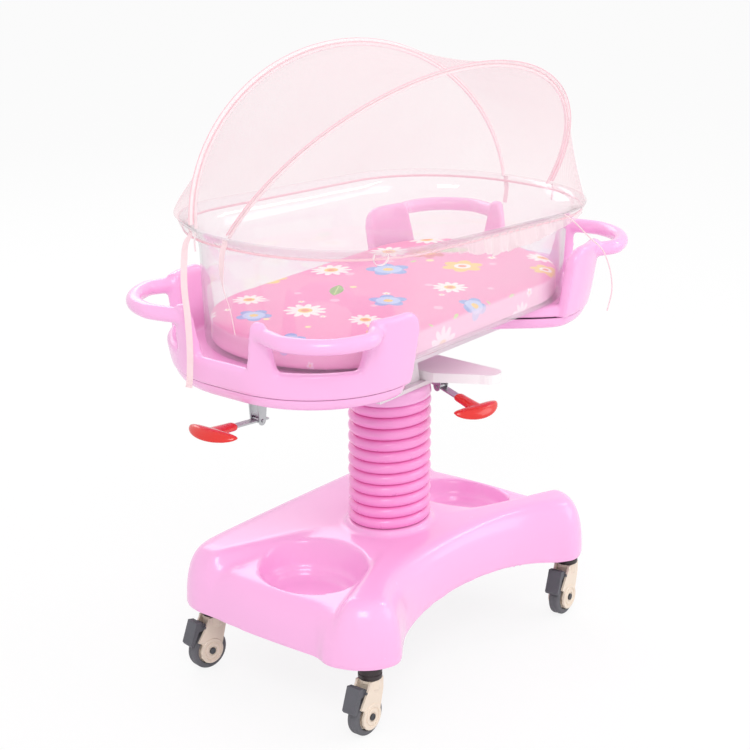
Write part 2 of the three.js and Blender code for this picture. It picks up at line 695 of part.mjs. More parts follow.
// The bush lines the top of the outer tube, with a lip that rests on the tube's end.
function guideBush() {
  const bore = INNER_TUBE_DIAMETER / 2 + RUNNING_GAP;
  const outer = outerTubeBore - SEAT_GAP;
  const lip = outerTubeTop + SEAT_GAP;
  return revolve([
    [bore, outerTubeTop - BUSH_LENGTH], [outer, outerTubeTop - BUSH_LENGTH], [outer, lip],
    [OUTER_TUBE_DIAMETER / 2, lip], [OUTER_TUBE_DIAMETER / 2, lip + 3], [bore, lip + 3],
    [bore, outerTubeTop - BUSH_LENGTH],
  ], 20);
}

function gasCylinder() {
  const radius = GAS_CYLINDER_DIAMETER / 2;
  const bore = GAS_ROD_DIAMETER / 2 + RUNNING_GAP;
  const z0 = FRAME_TOP + SEAT_GAP;
  const z1 = z0 + GAS_CYLINDER_LENGTH;
  return revolve([[0, z0], [radius, z0], [radius, z1], [bore, z1], [bore, z0 + 8], [0, z0 + 8]], 16);
}

function gasRod() {
  const top = HEAD_BOTTOM - SEAT_GAP;
  const radius = GAS_ROD_DIAMETER / 2;
  return revolve([
    [0, top - GAS_ROD_LENGTH], [radius, top - GAS_ROD_LENGTH], [radius, top - 14], [radius + 5, top - 14],
    [radius + 5, top], [0, top],
  ], 12);
}

addPiece('guide_bush', guideBush(), 'black');
addPiece('lift_gas_cylinder', gasCylinder(), 'black');
addPiece('lift_gas_rod', gasRod(), 'steel');

// Bellows: an oval sleeve with rounded ribs outside and a plain bore.
function ovalRing(halfLength, halfWidth, z, sides = BELLOWS_SIDES) {
  return Array.from({ length: sides }, (_, i) => {
    const angle = i / sides * Math.PI * 2;
    return point(halfLength * Math.cos(angle), halfWidth * Math.sin(angle), z);
  });
}

function bellows() {
  const pitch = BELLOWS_HEIGHT / BELLOWS_RIBS;
  const ring = (depth, z) => ovalRing(BELLOWS_HALF_LENGTH - depth, BELLOWS_HALF_WIDTH - depth, z);
  const rings = [ring(BELLOWS_RIB_DEPTH, BELLOWS_BOTTOM)];
  for (let rib = 0; rib < BELLOWS_RIBS; rib += 1) {
    const z = BELLOWS_BOTTOM + rib * pitch;
    rings.push(ring(0, z + pitch * 0.3), ring(0, z + pitch * 0.7), ring(BELLOWS_RIB_DEPTH, z + pitch));
  }
  const boreDepth = BELLOWS_RIB_DEPTH + BELLOWS_WALL;
  const boreRings = 2;
  for (let i = boreRings - 1; i >= 0; i -= 1) {
    rings.push(ring(boreDepth, BELLOWS_BOTTOM + BELLOWS_HEIGHT * i / (boreRings - 1)));
  }
  return loft(rings, true);
}

function bellowsCollar() {
  const depth = BELLOWS_RIB_DEPTH + BELLOWS_WALL;
  const ring = (inset, z) => ovalRing(BELLOWS_HALF_LENGTH - inset, BELLOWS_HALF_WIDTH - inset, z);
  const top = COLLAR_RING_BOTTOM + COLLAR_RING_HEIGHT;
  return loft([
    ring(depth, COLLAR_RING_BOTTOM), ring(3, COLLAR_RING_BOTTOM), ring(0, COLLAR_RING_BOTTOM + 5),
    ring(2, top - 4), ring(6, top), ring(depth, top),
  ], true);
}

addPiece('bellows', bellows(), 'bellows');
addPiece('bellows_collar', bellowsCollar(), 'pink');

// Column head

const lugHalf = HEAD_LUG_SPACING / 2;
const pinHoleRadius = TILT_PIN_DIAMETER / 2 + RUNNING_GAP;

// Pivot points of the tilt spring, in the XZ plane.
const springLower = new THREE.Vector2(TILT_SPRING_LOWER_X, HEAD_TOP + TILT_SPRING_LOWER_RISE);
const springUpper = new THREE.Vector2(
  -(SUBFRAME_HALF_LENGTH - TILT_SPRING_SETBACK), TRAY_BOTTOM - TILT_SPRING_UPPER_DROP,
);
const springEyeHalf = TILT_SPRING_EYE_WIDTH / 2;
const springLugGauge = TILT_SPRING_LUG_GAUGE;

// An upright lug with a round head, standing between two heights.
function lug(x, halfLength, z0, pivotZ, y0, y1) {
  const shape = new THREE.Shape();
  shape.moveTo(x - halfLength, z0);
  shape.lineTo(x + halfLength, z0);
  shape.absarc(x, pivotZ, halfLength * 0.6, 0, Math.PI, z0 > pivotZ);
  shape.closePath();
  return plateXZ(shape, y0, y1);
}

function columnHead() {
  const halfLength = HEAD_PLATE_LENGTH / 2;
  const halfWidth = HEAD_PLATE_WIDTH / 2;
  const plate = box(-halfLength, halfLength, -halfWidth, halfWidth, HEAD_BOTTOM, HEAD_TOP);
  const half = HEAD_LUG_LENGTH / 2;
  const lugs = [-1, 1].map((side) => {
    const y = side * lugHalf;
    return lug(0, half, HEAD_TOP - 1, PIVOT_Z, y - HEAD_LUG_WIDTH / 2, y + HEAD_LUG_WIDTH / 2);
  });
  const clevisInner = springEyeHalf + RUNNING_GAP;
  const clevis = [-1, 1].map((side) => {
    const near = side * clevisInner;
    const far = side * (clevisInner + springLugGauge);
    const [y0, y1] = [Math.min(near, far), Math.max(near, far)];
    return lug(springLower.x, SPRING_LUG_HALF_LENGTH, HEAD_TOP - 1, springLower.y, y0, y1);
  });
  const pinHalf = clevisInner + springLugGauge;
  const springPin = rodAlongY(TILT_SPRING_PIN_DIAMETER / 2, pinHalf, springLower.x, springLower.y);
  const head = join(plate, ...lugs, ...clevis, springPin);
  return cut(head, rodAlongY(TILT_PIN_DIAMETER / 2 + SEAT_GAP, lugHalf + HEAD_LUG_WIDTH, 0, PIVOT_Z, 20));
}

function tiltPin() {
  const half = lugHalf + HEAD_LUG_WIDTH / 2;
  return rodAlongY(TILT_PIN_DIAMETER / 2, half, 0, PIVOT_Z, 20);
}

// White board on the head plate: straight along its far edge, tapering to a rounded tip on each side.
function supportBoard() {
  const tip = BOARD_FAR_X - BOARD_NEAR_X - BOARD_TIP_TAPER;
  const tipX = BOARD_FAR_X - tip;
  const span = BOARD_HALF_SPAN;
  const shoulder = span * 0.45;
  const tipRound = tip * 0.5;
  const shape = new THREE.Shape();
  shape.moveTo(BOARD_NEAR_X, -shoulder);
  shape.lineTo(tipX, -span + tipRound);
  shape.quadraticCurveTo(tipX + 4, -span, BOARD_FAR_X - tipRound, -span);
  shape.quadraticCurveTo(BOARD_FAR_X, -span, BOARD_FAR_X, -span + tipRound);
  shape.lineTo(BOARD_FAR_X, span - tipRound);
  shape.quadraticCurveTo(BOARD_FAR_X, span, BOARD_FAR_X - tipRound, span);
  shape.quadraticCurveTo(tipX + 4, span, tipX, span - tipRound);
  shape.lineTo(BOARD_NEAR_X, shoulder);
  shape.closePath();
  return plateXY(shape, HEAD_TOP + SEAT_GAP, HEAD_TOP + SEAT_GAP + BOARD_THICKNESS, 5);
}

addPiece('column_head', columnHead(), 'darkSteel');
addPiece('tilt_pin', tiltPin(), 'steel');
addPiece('support_board', supportBoard(), 'white');

// Bed subframe: two rails, cross members, hinge lugs and the tilt spring's upper lugs.
function bedSubframe() {
  const z0 = SUBFRAME_TOP - SUBFRAME_RAIL;
  const railY = SUBFRAME_SPACING / 2;
  const halfRail = SUBFRAME_RAIL / 2;
  const rails = [-1, 1].map((side) => {
    const y = side * railY;
    return box(-SUBFRAME_HALF_LENGTH, SUBFRAME_HALF_LENGTH, y - halfRail, y + halfRail, z0, SUBFRAME_TOP);
  });
  const crossX = [-SUBFRAME_HALF_LENGTH + halfRail, springUpper.x, SUBFRAME_HALF_LENGTH - halfRail];
  const crossBottom = SUBFRAME_TOP - SUBFRAME_WALL_GAUGE * 2;
  const crosses = crossX.map((x) => {
    return box(x - halfRail, x + halfRail, -railY, railY, crossBottom, SUBFRAME_TOP);
  });
  const bridge = box(-halfRail, halfRail, -railY, railY, crossBottom, SUBFRAME_TOP);
  const lugY = lugHalf - HEAD_LUG_WIDTH / 2 - SEAT_GAP - SUBFRAME_LUG_WIDTH / 2;
  const lugs = [-1, 1].map((side) => {
    const y = side * lugY;
    const halfWidth = SUBFRAME_LUG_WIDTH / 2;
    return lug(0, SUBFRAME_LUG_LENGTH / 2, SUBFRAME_TOP - 1, PIVOT_Z, y - halfWidth, y + halfWidth);
  });
  const springInner = springEyeHalf + RUNNING_GAP;
  const springLugs = [-1, 1].map((side) => {
    const near = side * springInner;
    const far = side * (springInner + springLugGauge);
    const [y0, y1] = [Math.min(near, far), Math.max(near, far)];
    return lug(springUpper.x, SPRING_LUG_HALF_LENGTH, SUBFRAME_TOP - 1, springUpper.y, y0, y1);
  });
  const springPin = rodAlongY(
    TILT_SPRING_PIN_DIAMETER / 2, springInner + springLugGauge, springUpper.x, springUpper.y,
  );
  const frame = join(rails[0], rails[1], ...crosses, bridge, ...lugs, ...springLugs, springPin);
  return cut(frame, rodAlongY(pinHoleRadius, lugHalf, 0, PIVOT_Z, 20));
}

addPiece('bed_subframe', bedSubframe(), 'darkSteel');

// Tilt spring, drawn along +X from its upper eye, then turned towards its lower eye.
const springLength = springLower.distanceTo(springUpper);
const springAngle = Math.atan2(springUpper.y - springLower.y, springLower.x - springUpper.x);
const springBodyEnd = springLength * 0.62;

function eye(x, boreRadius) {
  const outer = TILT_SPRING_EYE_DIAMETER / 2;
  return tube(outer, boreRadius, -springEyeHalf, springEyeHalf, 12).rotateX(Math.PI / 2).translate(x, 0, 0);
}

function placeSpring(geometry) {
  return geometry.rotateY(springAngle).translate(springUpper.x, 0, springUpper.y);
}

function tiltSpringCylinder() {
  const bore = TILT_SPRING_ROD_DIAMETER / 2 + RUNNING_GAP;
  const eyeReach = TILT_SPRING_EYE_DIAMETER / 2 - 1.5;
  const body = revolve([
    [0, eyeReach], [TILT_SPRING_DIAMETER / 2, eyeReach + 3], [TILT_SPRING_DIAMETER / 2, springBodyEnd],
    [bore, springBodyEnd], [bore, eyeReach + 12], [0, eyeReach + 12],
  ], 12).rotateY(Math.PI / 2);
  return placeSpring(join(eye(0, TILT_SPRING_PIN_DIAMETER / 2 + RUNNING_GAP), body));
}

function tiltSpringRod() {
  const openBore = TILT_SPRING_PIN_DIAMETER / 2 + TILT_SPRING_OPEN_CLEARANCE;
  const start = springLength * 0.28;
  const end = springLength - TILT_SPRING_EYE_DIAMETER / 2 + 1.5;
  const shaft = rod(TILT_SPRING_ROD_DIAMETER / 2, start, end, 10).rotateY(Math.PI / 2);
  return placeSpring(join(shaft, eye(springLength, openBore)));
}

addPiece('tilt_gas_cylinder', tiltSpringCylinder(), 'black');
addPiece('tilt_gas_rod', tiltSpringRod(), 'steel');

// Tray

const TRAY_ARC_STEPS = 7;

// The tray's dog-bone plan: rounded ends and long sides drawn in to a waist.
function trayOutline(offset) {
  const ends = roundedOutline(TRAY_HALF_LENGTH, TRAY_HALF_WIDTH, TRAY_CORNER, offset, TRAY_ARC_STEPS);
  const shoulderX = TRAY_HALF_LENGTH - TRAY_CORNER;
  const sideY = (x) => {
    const share = smoothstep(Math.abs(x), TRAY_WAIST_HALF_LENGTH, shoulderX);
    return TRAY_WAIST + offset + (TRAY_HALF_WIDTH - TRAY_WAIST) * share;
  };
  const waistSteps = 6;
  const waist = (sign) => Array.from({ length: waistSteps - 1 }, (_, i) => {
    const x = sign * shoulderX * (1 - 2 * (i + 1) / waistSteps);
    return { x, y: sign * sideY(x) };
  });
  const perQuadrant = TRAY_ARC_STEPS + 1;
  return [
    ...ends.slice(0, perQuadrant), ...waist(1),
    ...ends.slice(perQuadrant, 3 * perQuadrant), ...waist(-1),
    ...ends.slice(3 * perQuadrant),
  ];
}

const trayRing = (offset, z) => trayOutline(offset).map((p) => point(p.x, p.y, z));

function trayLower() {
  const top = PARTING_Z - SEAT_GAP;
  const taper = TRAY_LOWER_TAPER;
  const inner = -TRAY_SHELL;
  return loft([
    trayRing(-taper - 6, TRAY_BOTTOM), trayRing(-taper + 2, TRAY_BOTTOM + 3),
    trayRing(-4, top - 5), trayRing(-3, top),
    trayRing(-3 + inner, top), trayRing(-taper + 2 + inner, TRAY_BOTTOM + TRAY_SHELL),
  ]);
}

// Outward growth of the ears with height above the parting line.
function earFlare(z) {
  return EAR_FLARE * Math.max(0, (z - PARTING_Z) / EAR_RISE) ** 0.8;
}

// Walks the head end's wall line from its middle: distance along the wall to a place and a normal.
function wallPlace(distance) {
  const straight = TRAY_HALF_WIDTH - TRAY_CORNER;
  const arc = TRAY_CORNER * Math.PI / 2;
  const along = Math.abs(distance);
  const side = Math.sign(distance) || 1;
  if (along <= straight) {
    return { x: -TRAY_HALF_LENGTH, y: side * along, nx: -1, ny: 0 };
  }
  if (along <= straight + arc) {
    const angle = (along - straight) / TRAY_CORNER;
    const nx = -Math.cos(angle);
    const ny = side * Math.sin(angle);
    return {
      x: -(TRAY_HALF_LENGTH - TRAY_CORNER) + TRAY_CORNER * nx,
      y: side * straight + TRAY_CORNER * ny,
      nx,
      ny,
    };
  }
  const past = along - straight - arc;
  return { x: -(TRAY_HALF_LENGTH - TRAY_CORNER) + past, y: side * TRAY_HALF_WIDTH, nx: 0, ny: side };
}

const earEnd = (TRAY_HALF_WIDTH - TRAY_CORNER) + TRAY_CORNER * Math.PI / 2
  + (TRAY_HALF_LENGTH - TRAY_CORNER - EAR_END_X);
const slotStart = END_GAP_HALF_WIDTH + EAR_POST_WIDTH;
const slotEnd = earEnd - EAR_SIDE_POST_WIDTH;

// Wall-top height along one half of an end: low gap, post, sill under the bar, side post.
function wallTopStations() {
  const high = PARTING_Z + EAR_RISE;
  const sill = PARTING_Z + EAR_SILL_RISE;
  const gap = END_GAP_HALF_WIDTH;
  const rise = (from, dir) => [
    [from - dir * 9, sill], [from - dir * 2, sill + 6],
    [from + dir * 4, high - 20], [from + dir * 14, high],
  ];
  const sillSteps = 3;
  const sillStations = Array.from({ length: sillSteps }, (_, i) => {
    return [slotStart + 12 + (slotEnd - slotStart - 24) * (i + 0.5) / sillSteps, sill];
  });
  return [
    [0, sill],
    ...rise(gap, 1),
    ...rise(slotStart, -1).reverse(),
    ...sillStations,
    ...rise(slotEnd, 1),
    [earEnd - 26, high], [earEnd - 12, high - 6], [earEnd - 4, high - 18], [earEnd, high - 34],
  ];
}

// Section of the wall at one place: a closed loop round its outer face, rounded top and inner face.
function wallSection(distance, top) {
  const place = wallPlace(distance);
  const bottom = PARTING_Z;
  const at = (outward, z) => point(
    place.x + place.nx * (earFlare(z) + outward), place.y + place.ny * (earFlare(z) + outward), z,
  );
  const round = EAR_WALL * 0.3;
  return [
    at(0, bottom), at(0, (bottom + top) / 2), at(0, top - round), at(-round, top),
    at(-EAR_WALL + round, top), at(-EAR_WALL, top - round), at(-EAR_WALL, bottom),
  ];
}

function endWall() {
  const half = wallTopStations();
  const stations = [
    ...half.slice(1).reverse().map(([distance, top]) => [-distance, top]),
    ...half,
  ];
  return loft(stations.map(([distance, top]) => wallSection(distance, top)));
}

// A handle bar: a round bar that bulges outwards round the corner between two posts.
function handleBar(side) {
  const z = PARTING_Z + BAR_RISE;
  const flare = earFlare(z);
  const reach = flare + BAR_REACH - BAR_DIAMETER / 2;
  const halfLength = TRAY_HALF_LENGTH + reach;
  const halfWidth = TRAY_HALF_WIDTH + reach;
  const inPost = (distance) => {
    const place = wallPlace(distance);
    const outward = flare - EAR_WALL / 2;
    return point(place.x + place.nx * outward, side * (place.y + place.ny * outward), z);
  };
  const corner = Array.from({ length: 7 }, (_, i) => {
    const angle = i / 6 * Math.PI / 2;
    return point(
      -(halfLength - BAR_CORNER) - BAR_CORNER * Math.cos(angle),
      side * (halfWidth - BAR_CORNER + BAR_CORNER * Math.sin(angle)),
      z,
    );
  });
  const route = new THREE.CatmullRomCurve3([
    inPost(END_GAP_HALF_WIDTH + EAR_POST_WIDTH / 2), ...corner, inPost(slotEnd + EAR_POST_WIDTH / 2),
  ]);
  const section = new THREE.Shape();
  section.absarc(0, 0, BAR_DIAMETER / 2, 0, Math.PI * 2, false);
  const sweep = { extrudePath: route, steps: 10, curveSegments: 4, bevelEnabled: false };
  return new THREE.ExtrudeGeometry(section, sweep);
}

function trayUpper() {
  const floor = loft([
    trayRing(-EAR_WALL / 2, FLOOR_TOP - TRAY_FLOOR_THICKNESS), trayRing(-EAR_WALL / 2, FLOOR_TOP),
  ]);
  const headEnd = join(endWall(), handleBar(1), handleBar(-1));
  const footEnd = headEnd.clone().rotateZ(Math.PI);
  return join(headEnd, floor, footEnd);
}

addPiece('tray_lower', trayLower(), 'pink');
addPiece('tray_upper', trayUpper(), 'pink');

// Basin

const BASIN_ARC_STEPS = 8;

// A point of the basin at a level above its floor: the rim slopes down to the foot, the floor is flat.
function basinPoint(place, level) {
  const slope = RIM_SLOPE * place.x * (level / BASIN_HEIGHT) ** 2;
  return point(place.x, place.y, BASIN_BOTTOM + level - slope);
}

function basinOutline(offset) {
  return roundedOutline(BASIN_HALF_LENGTH, BASIN_HALF_WIDTH, BASIN_CORNER, offset, BASIN_ARC_STEPS);
}

function basinRing(offset, level) {
  return basinOutline(offset).map((place) => basinPoint(place, level));
}

function basin() {
  const top = BASIN_HEIGHT;
  const wall = BASIN_WALL;
  const lip = RIM_FLARE - RIM_LIP_WIDTH;
  return loft([
    basinRing(-16, 0), basinRing(-9, 2.5), basinRing(-6, 9), basinRing(0, top - 46), basinRing(6, top - 26),
    basinRing(lip, top - wall - RIM_LIP_FALL), basinRing(RIM_FLARE, top - wall),
    basinRing(RIM_FLARE - 1, top), basinRing(lip - 1, top - RIM_LIP_FALL), basinRing(6 - wall, top - 24), basinRing(-wall, top - 44),
    basinRing(-6 - wall, 9), basinRing(-9 - wall, wall + 1.5), basinRing(-16, wall),
  ]);
}

addPiece('basin', basin(), 'clear');

// Mattress: a flat bottom, drawn-in sides between two edges, and a crowned top.
function mattress() {
  const z0 = BASIN_WALL + SEAT_GAP;
  const z1 = z0 + MATTRESS_THICKNESS;
  const edge = -9 - BASIN_WALL - MATTRESS_CLEARANCE;
  const ring = (offset, z) => {
    return basinOutline(offset).map((place) => point(place.x, place.y, BASIN_BOTTOM + z));
  };
  const inward = [-24, -66, -130];
  const crown = inward.map((offset) => {
    const share = 1 - (1 + offset / BASIN_CORNER) ** 2;
    return ring(edge + offset, z1 - 5 + (MATTRESS_CROWN + 5) * Math.sqrt(share));
  });
  return loft([
    ring(edge - 12, z0), ring(edge - 3, z0 + 3), ring(edge, z0 + 9), ring(edge - 3, (z0 + z1) / 2),
    ring(edge, z1 - 13), ring(edge - 3, z1 - 5), ...crown,
  ]);
}

addPiece('mattress', mattress(), 'fabric');

// Net canopy over two sprung hoops

const RIM_SEAT_OFFSET = RIM_FLARE - 1;

// A place on the rim's top along one side, from the head end (0) round to the foot end (1).
function rimPlace(share, side, headY, footY) {
  const straight = BASIN_HALF_LENGTH - BASIN_CORNER;
  const radius = BASIN_CORNER + RIM_SEAT_OFFSET;
  const centreY = BASIN_HALF_WIDTH - BASIN_CORNER;
  const sideAngle = (endY) => Math.asin((side * endY + HEM_OVERLAP - centreY) / radius);
  const headAngle = sideAngle(headY);
  const footAngle = sideAngle(footY);
  const headArc = radius * (Math.PI / 2 - headAngle);
  const footArc = radius * (Math.PI / 2 - footAngle);
  const total = headArc + 2 * straight + footArc;
  const travel = share * total;
  const onArc = (angle, end) => ({
    x: end * (straight + radius * Math.cos(angle)),
    y: side * (centreY + radius * Math.sin(angle)),
  });
  if (travel < headArc) {
    return onArc(headAngle + travel / radius, -1);
  }
  if (total - travel < footArc) {
    return onArc(footAngle + (total - travel) / radius, 1);
  }
  return { x: travel - headArc - straight, y: side * (centreY + radius) };
}

const rimTop = (place) => basinPoint(place, BASIN_HEIGHT + SEAT_GAP);

// A place on one hoop, from head end to foot end: a half ellipse that leans to its crown.
function hoopPlace(share, { headY, footY, crownY, rise }) {
  const angle = share * Math.PI;
  const lift = Math.sin(angle);
  const endY = THREE.MathUtils.lerp(headY, footY, share);
  const radius = BASIN_CORNER + RIM_SEAT_OFFSET;
  const beyond = Math.max(0, Math.abs(endY) - (BASIN_HALF_WIDTH - BASIN_CORNER));
  const halfSpan = BASIN_HALF_LENGTH - BASIN_CORNER + Math.sqrt(radius ** 2 - beyond ** 2);
  const x = -halfSpan * Math.cos(angle);
  const y = endY + (crownY - (headY + footY) / 2) * lift;
  return point(x, y, rimTop({ x, y }).z + rise * lift);
}

const NET_PANEL_STEPS = 4;
const NET_SLACK = 10;

// One cross row of the net: left rim, left hoop, right hoop, right rim, a little slack between them.
function netRow(share) {
  const leftRim = rimTop(rimPlace(share, 1, HOOP_LEFT.headY, HOOP_LEFT.footY));
  const rightRim = rimTop(rimPlace(share, -1, HOOP_RIGHT.headY, HOOP_RIGHT.footY));
  const left = hoopPlace(share, HOOP_LEFT);
  const right = hoopPlace(share, HOOP_RIGHT);
  const slack = NET_SLACK * Math.sin(share * Math.PI);
  const panel = (from, to, inward) => Array.from({ length: NET_PANEL_STEPS }, (_, i) => {
    const t = i / NET_PANEL_STEPS;
    return from.clone().lerp(to, t).addScaledVector(inward, slack * Math.sin(t * Math.PI));
  });
  return [
    ...panel(leftRim, left, point(0, -0.8, -0.3)),
    ...panel(left, right, point(0, 0, -1)),
    ...panel(right, rightRim, point(0, 0.6, -0.5)),
    rightRim,
  ];
}

// Moves a point of the canopy towards the space it covers.
function towardsInside(p, distance) {
  const centre = point(p.x * 0.75, p.y * 0.3, BASIN_BOTTOM + BASIN_HEIGHT);
  return p.clone().addScaledVector(centre.sub(p).normalize(), distance);
}

const NET_ROWS = 18;

// Outward normals at the points of the net, from the steps to their neighbours along both directions.
function netNormals(rows) {
  const around = (list, i) => [list[Math.max(0, i - 1)], list[Math.min(list.length - 1, i + 1)]];
  return rows.map((row, r) => row.map((_, c) => {
    const [left, right] = around(row, c);
    const [headward, footward] = around(rows, r).map((line) => line[c]);
    return right.clone().sub(left).cross(footward.clone().sub(headward)).normalize();
  }));
}

// The net is a thin closed sheet: its outer face, its inner face and the edge between them.
function net() {
  const inner = Array.from({ length: NET_ROWS + 1 }, (_, i) => netRow(i / NET_ROWS));
  const normals = netNormals(inner);
  const outer = inner.map((row, r) => row.map((p, c) => (
    p.clone().addScaledVector(normals[r][c], NET_THICKNESS)
  )));
  return sheetBody(outer, inner);
}

// A hoop runs just inside the net, and its two ends stand on the rim's sloping lip.
function hoop(shape) {
  const steps = 18;
  const drop = HOOP_DIAMETER / 2 + HOOP_NET_CLEARANCE;
  const lipFall = (drop - HOOP_DIAMETER) * RIM_LIP_FALL / RIM_LIP_WIDTH;
  const places = Array.from({ length: steps + 1 }, (_, i) => {
    const end = i === 0 || i === steps;
    return towardsInside(hoopPlace(i / steps, shape), drop).add(point(0, 0, end ? -lipFall : 0));
  });
  const section = new THREE.Shape();
  section.absarc(0, 0, HOOP_DIAMETER / 2, 0, Math.PI * 2, false);
  const extrudePath = new THREE.CatmullRomCurve3(places);
  return new THREE.ExtrudeGeometry(section, { extrudePath, steps, curveSegments: 3, bevelEnabled: false });
}

addPiece('canopy_net', net(), 'net');
addPiece('hoop_left', hoop(HOOP_LEFT), 'white');
addPiece('hoop_right', hoop(HOOP_RIGHT), 'white');

// Tapes and tie cord that hang from the net's hem

// A flat tape along a route, its width held in one direction.
function tape(route, across) {
  const curve = new THREE.CatmullRomCurve3(route);
  const steps = 14;
  const places = curve.getSpacedPoints(steps);
  const half = across.clone().multiplyScalar(TAPE_WIDTH / 2);
  const rings = places.map((p, i) => {
    const ahead = places[Math.min(i + 1, steps)].clone().sub(places[Math.max(i - 1, 0)]).normalize();
    const thick = ahead.cross(across).normalize().multiplyScalar(TAPE_THICKNESS / 2);
    return [
      p.clone().add(half).add(thick), p.clone().sub(half).add(thick),
      p.clone().sub(half).sub(thick), p.clone().add(half).sub(thick),
    ];
  });
  return loft(rings);
}

// The rim's outer edge on the head end at a given Y: the place, its outward normal and its direction.
function headRimEdge(y) {
  const radius = BASIN_CORNER + RIM_FLARE;
  const beyond = Math.max(0, y - (BASIN_HALF_WIDTH - BASIN_CORNER));
  const reach = Math.sqrt(radius ** 2 - beyond ** 2);
  const place = { x: -(BASIN_HALF_LENGTH - BASIN_CORNER + reach), y };
  const normal = point(-reach / radius, beyond / radius, 0);
  const along = point(normal.y, -normal.x, 0);
  return { edge: basinPoint(place, BASIN_HEIGHT - BASIN_WALL), normal, along };
}

const LONG_TAPE_Y = 103.5;
// Places below the rim: how far beyond the tray's end, Y, and height above the tray's parting line
const LONG_TAPE_ROUTE = [
  [-15, 92, 231], [9, 74, 201], [24, 60, 169], [29, 50, 124],
  [29, 47, 69], [27, 51, 19], [26, 55, -1],
];
const SHORT_TAPE_Y = 10;
// As above, but beyond the rim's end
const SHORT_TAPE_ROUTE = [
  [7, 10, 231], [9, 11, 205], [9, 9, 175], [8, -5, 136], [8, -15, 95],
];
const TIE_CORD_X = 192;
// X, how far beyond the rim's side, and height above the parting line
const TIE_CORD_ROUTE = [
  [216, 7, 195], [258, 14, 159], [296, 19, 129], [318, 20, 99],
  [332, 20, 69], [336, 20, 37], [322, 20, 3],
];
const rimEndX = BASIN_HALF_LENGTH + RIM_FLARE;
const rimSideY = BASIN_HALF_WIDTH + RIM_FLARE;

// A tape starts flat against the rim's outer edge, then follows its route down.
function tapeFromRim(y, route, endX) {
  const { edge, normal, along } = headRimEdge(y);
  const start = edge.addScaledVector(normal, TAPE_THICKNESS / 2 + SEAT_GAP);
  const dropped = start.clone().add(point(0, 0, -8));
  const below = route.map(([beyond, ry, rise]) => point(-endX - beyond, ry, PARTING_Z + rise));
  return tape([start, dropped, ...below], along);
}

function tieCord() {
  const rimY = -(rimSideY + TIE_CORD_DIAMETER / 2 + SEAT_GAP);
  const start = basinPoint({ x: TIE_CORD_X, y: rimY }, BASIN_HEIGHT - BASIN_WALL);
  const section = new THREE.Shape();
  section.absarc(0, 0, TIE_CORD_DIAMETER / 2, 0, Math.PI * 2, false);
  const below = TIE_CORD_ROUTE.map(([x, beyond, rise]) => point(x, -rimSideY - beyond, PARTING_Z + rise));
  const extrudePath = new THREE.CatmullRomCurve3([start, ...below]);
  const sweep = { extrudePath, steps: 12, curveSegments: 3, bevelEnabled: false };
  return new THREE.ExtrudeGeometry(section, sweep);
}

addPiece('tape_long', tapeFromRim(LONG_TAPE_Y, LONG_TAPE_ROUTE, TRAY_HALF_LENGTH), 'fabric');
addPiece('tape_short', tapeFromRim(SHORT_TAPE_Y, SHORT_TAPE_ROUTE, rimEndX), 'fabric');
addPiece('tie_cord', tieCord(), 'fabric');

// Release levers: the mounting face is at z = 0, the lever points along +X from a pivot below it.

const tiltLeverX = -(SUBFRAME_HALF_LENGTH + TILT_LEVER_SETBACK + LEVER_BRACKET_LENGTH / 2);
const bracketInner = LEVER_STRIP_WIDTH / 2 + RUNNING_GAP;
const bracketOuter = bracketInner + LEVER_BRACKET_GAUGE;
const leverPinHalf = bracketOuter + 2;
const pinBore = LEVER_PIN_DIAMETER / 2 + RUNNING_GAP;

function leverBracket(drop) {
  const half = LEVER_BRACKET_LENGTH / 2;
  const round = half * 0.6;
  const plate = box(-half, half, -bracketOuter, bracketOuter, -LEVER_BRACKET_GAUGE, 0);
  const cheek = new THREE.Shape();
  cheek.moveTo(-half, 0);
  cheek.lineTo(-round, -drop);
  cheek.absarc(0, -drop, round, Math.PI, Math.PI * 2, false);
  cheek.lineTo(half, 0);
  cheek.closePath();
  const bracket = join(
    plate, plateXZ(cheek, -bracketOuter, -bracketInner), plateXZ(cheek, bracketInner, bracketOuter),
  );
  const lightening = LEVER_PIN_DIAMETER * 0.4;
  return cut(
    bracket,
    rodAlongY(LEVER_PIN_DIAMETER / 2 + SEAT_GAP, leverPinHalf + 1, 0, -drop),
    rodAlongY(lightening, leverPinHalf + 1, 0, -drop / 2, 10),
  );
}

const stripEnd = (reach) => reach + GRIP_SOCKET_LENGTH * 0.6;

// A flat strip with a rolled eye, drawn along +X from the pivot.
function leverStrip(reach) {
  const t = LEVER_STRIP_THICKNESS / 2;
  const half = LEVER_STRIP_WIDTH / 2;
  const flat = box(-LEVER_TAIL, stripEnd(reach), -half, half, -t, t);
  const strip = join(flat, rodAlongY(pinBore + LEVER_BRACKET_GAUGE, half, 0, 0, 14));
  return cut(strip, rodAlongY(pinBore, half + 1, 0, 0));
}

// An oval section across X or Y, as a ring of points.
function ovalSection(sides, at) {
  return Array.from({ length: sides }, (_, i) => {
    const angle = i / sides * Math.PI * 2;
    return at(Math.cos(angle), Math.sin(angle));
  });
}

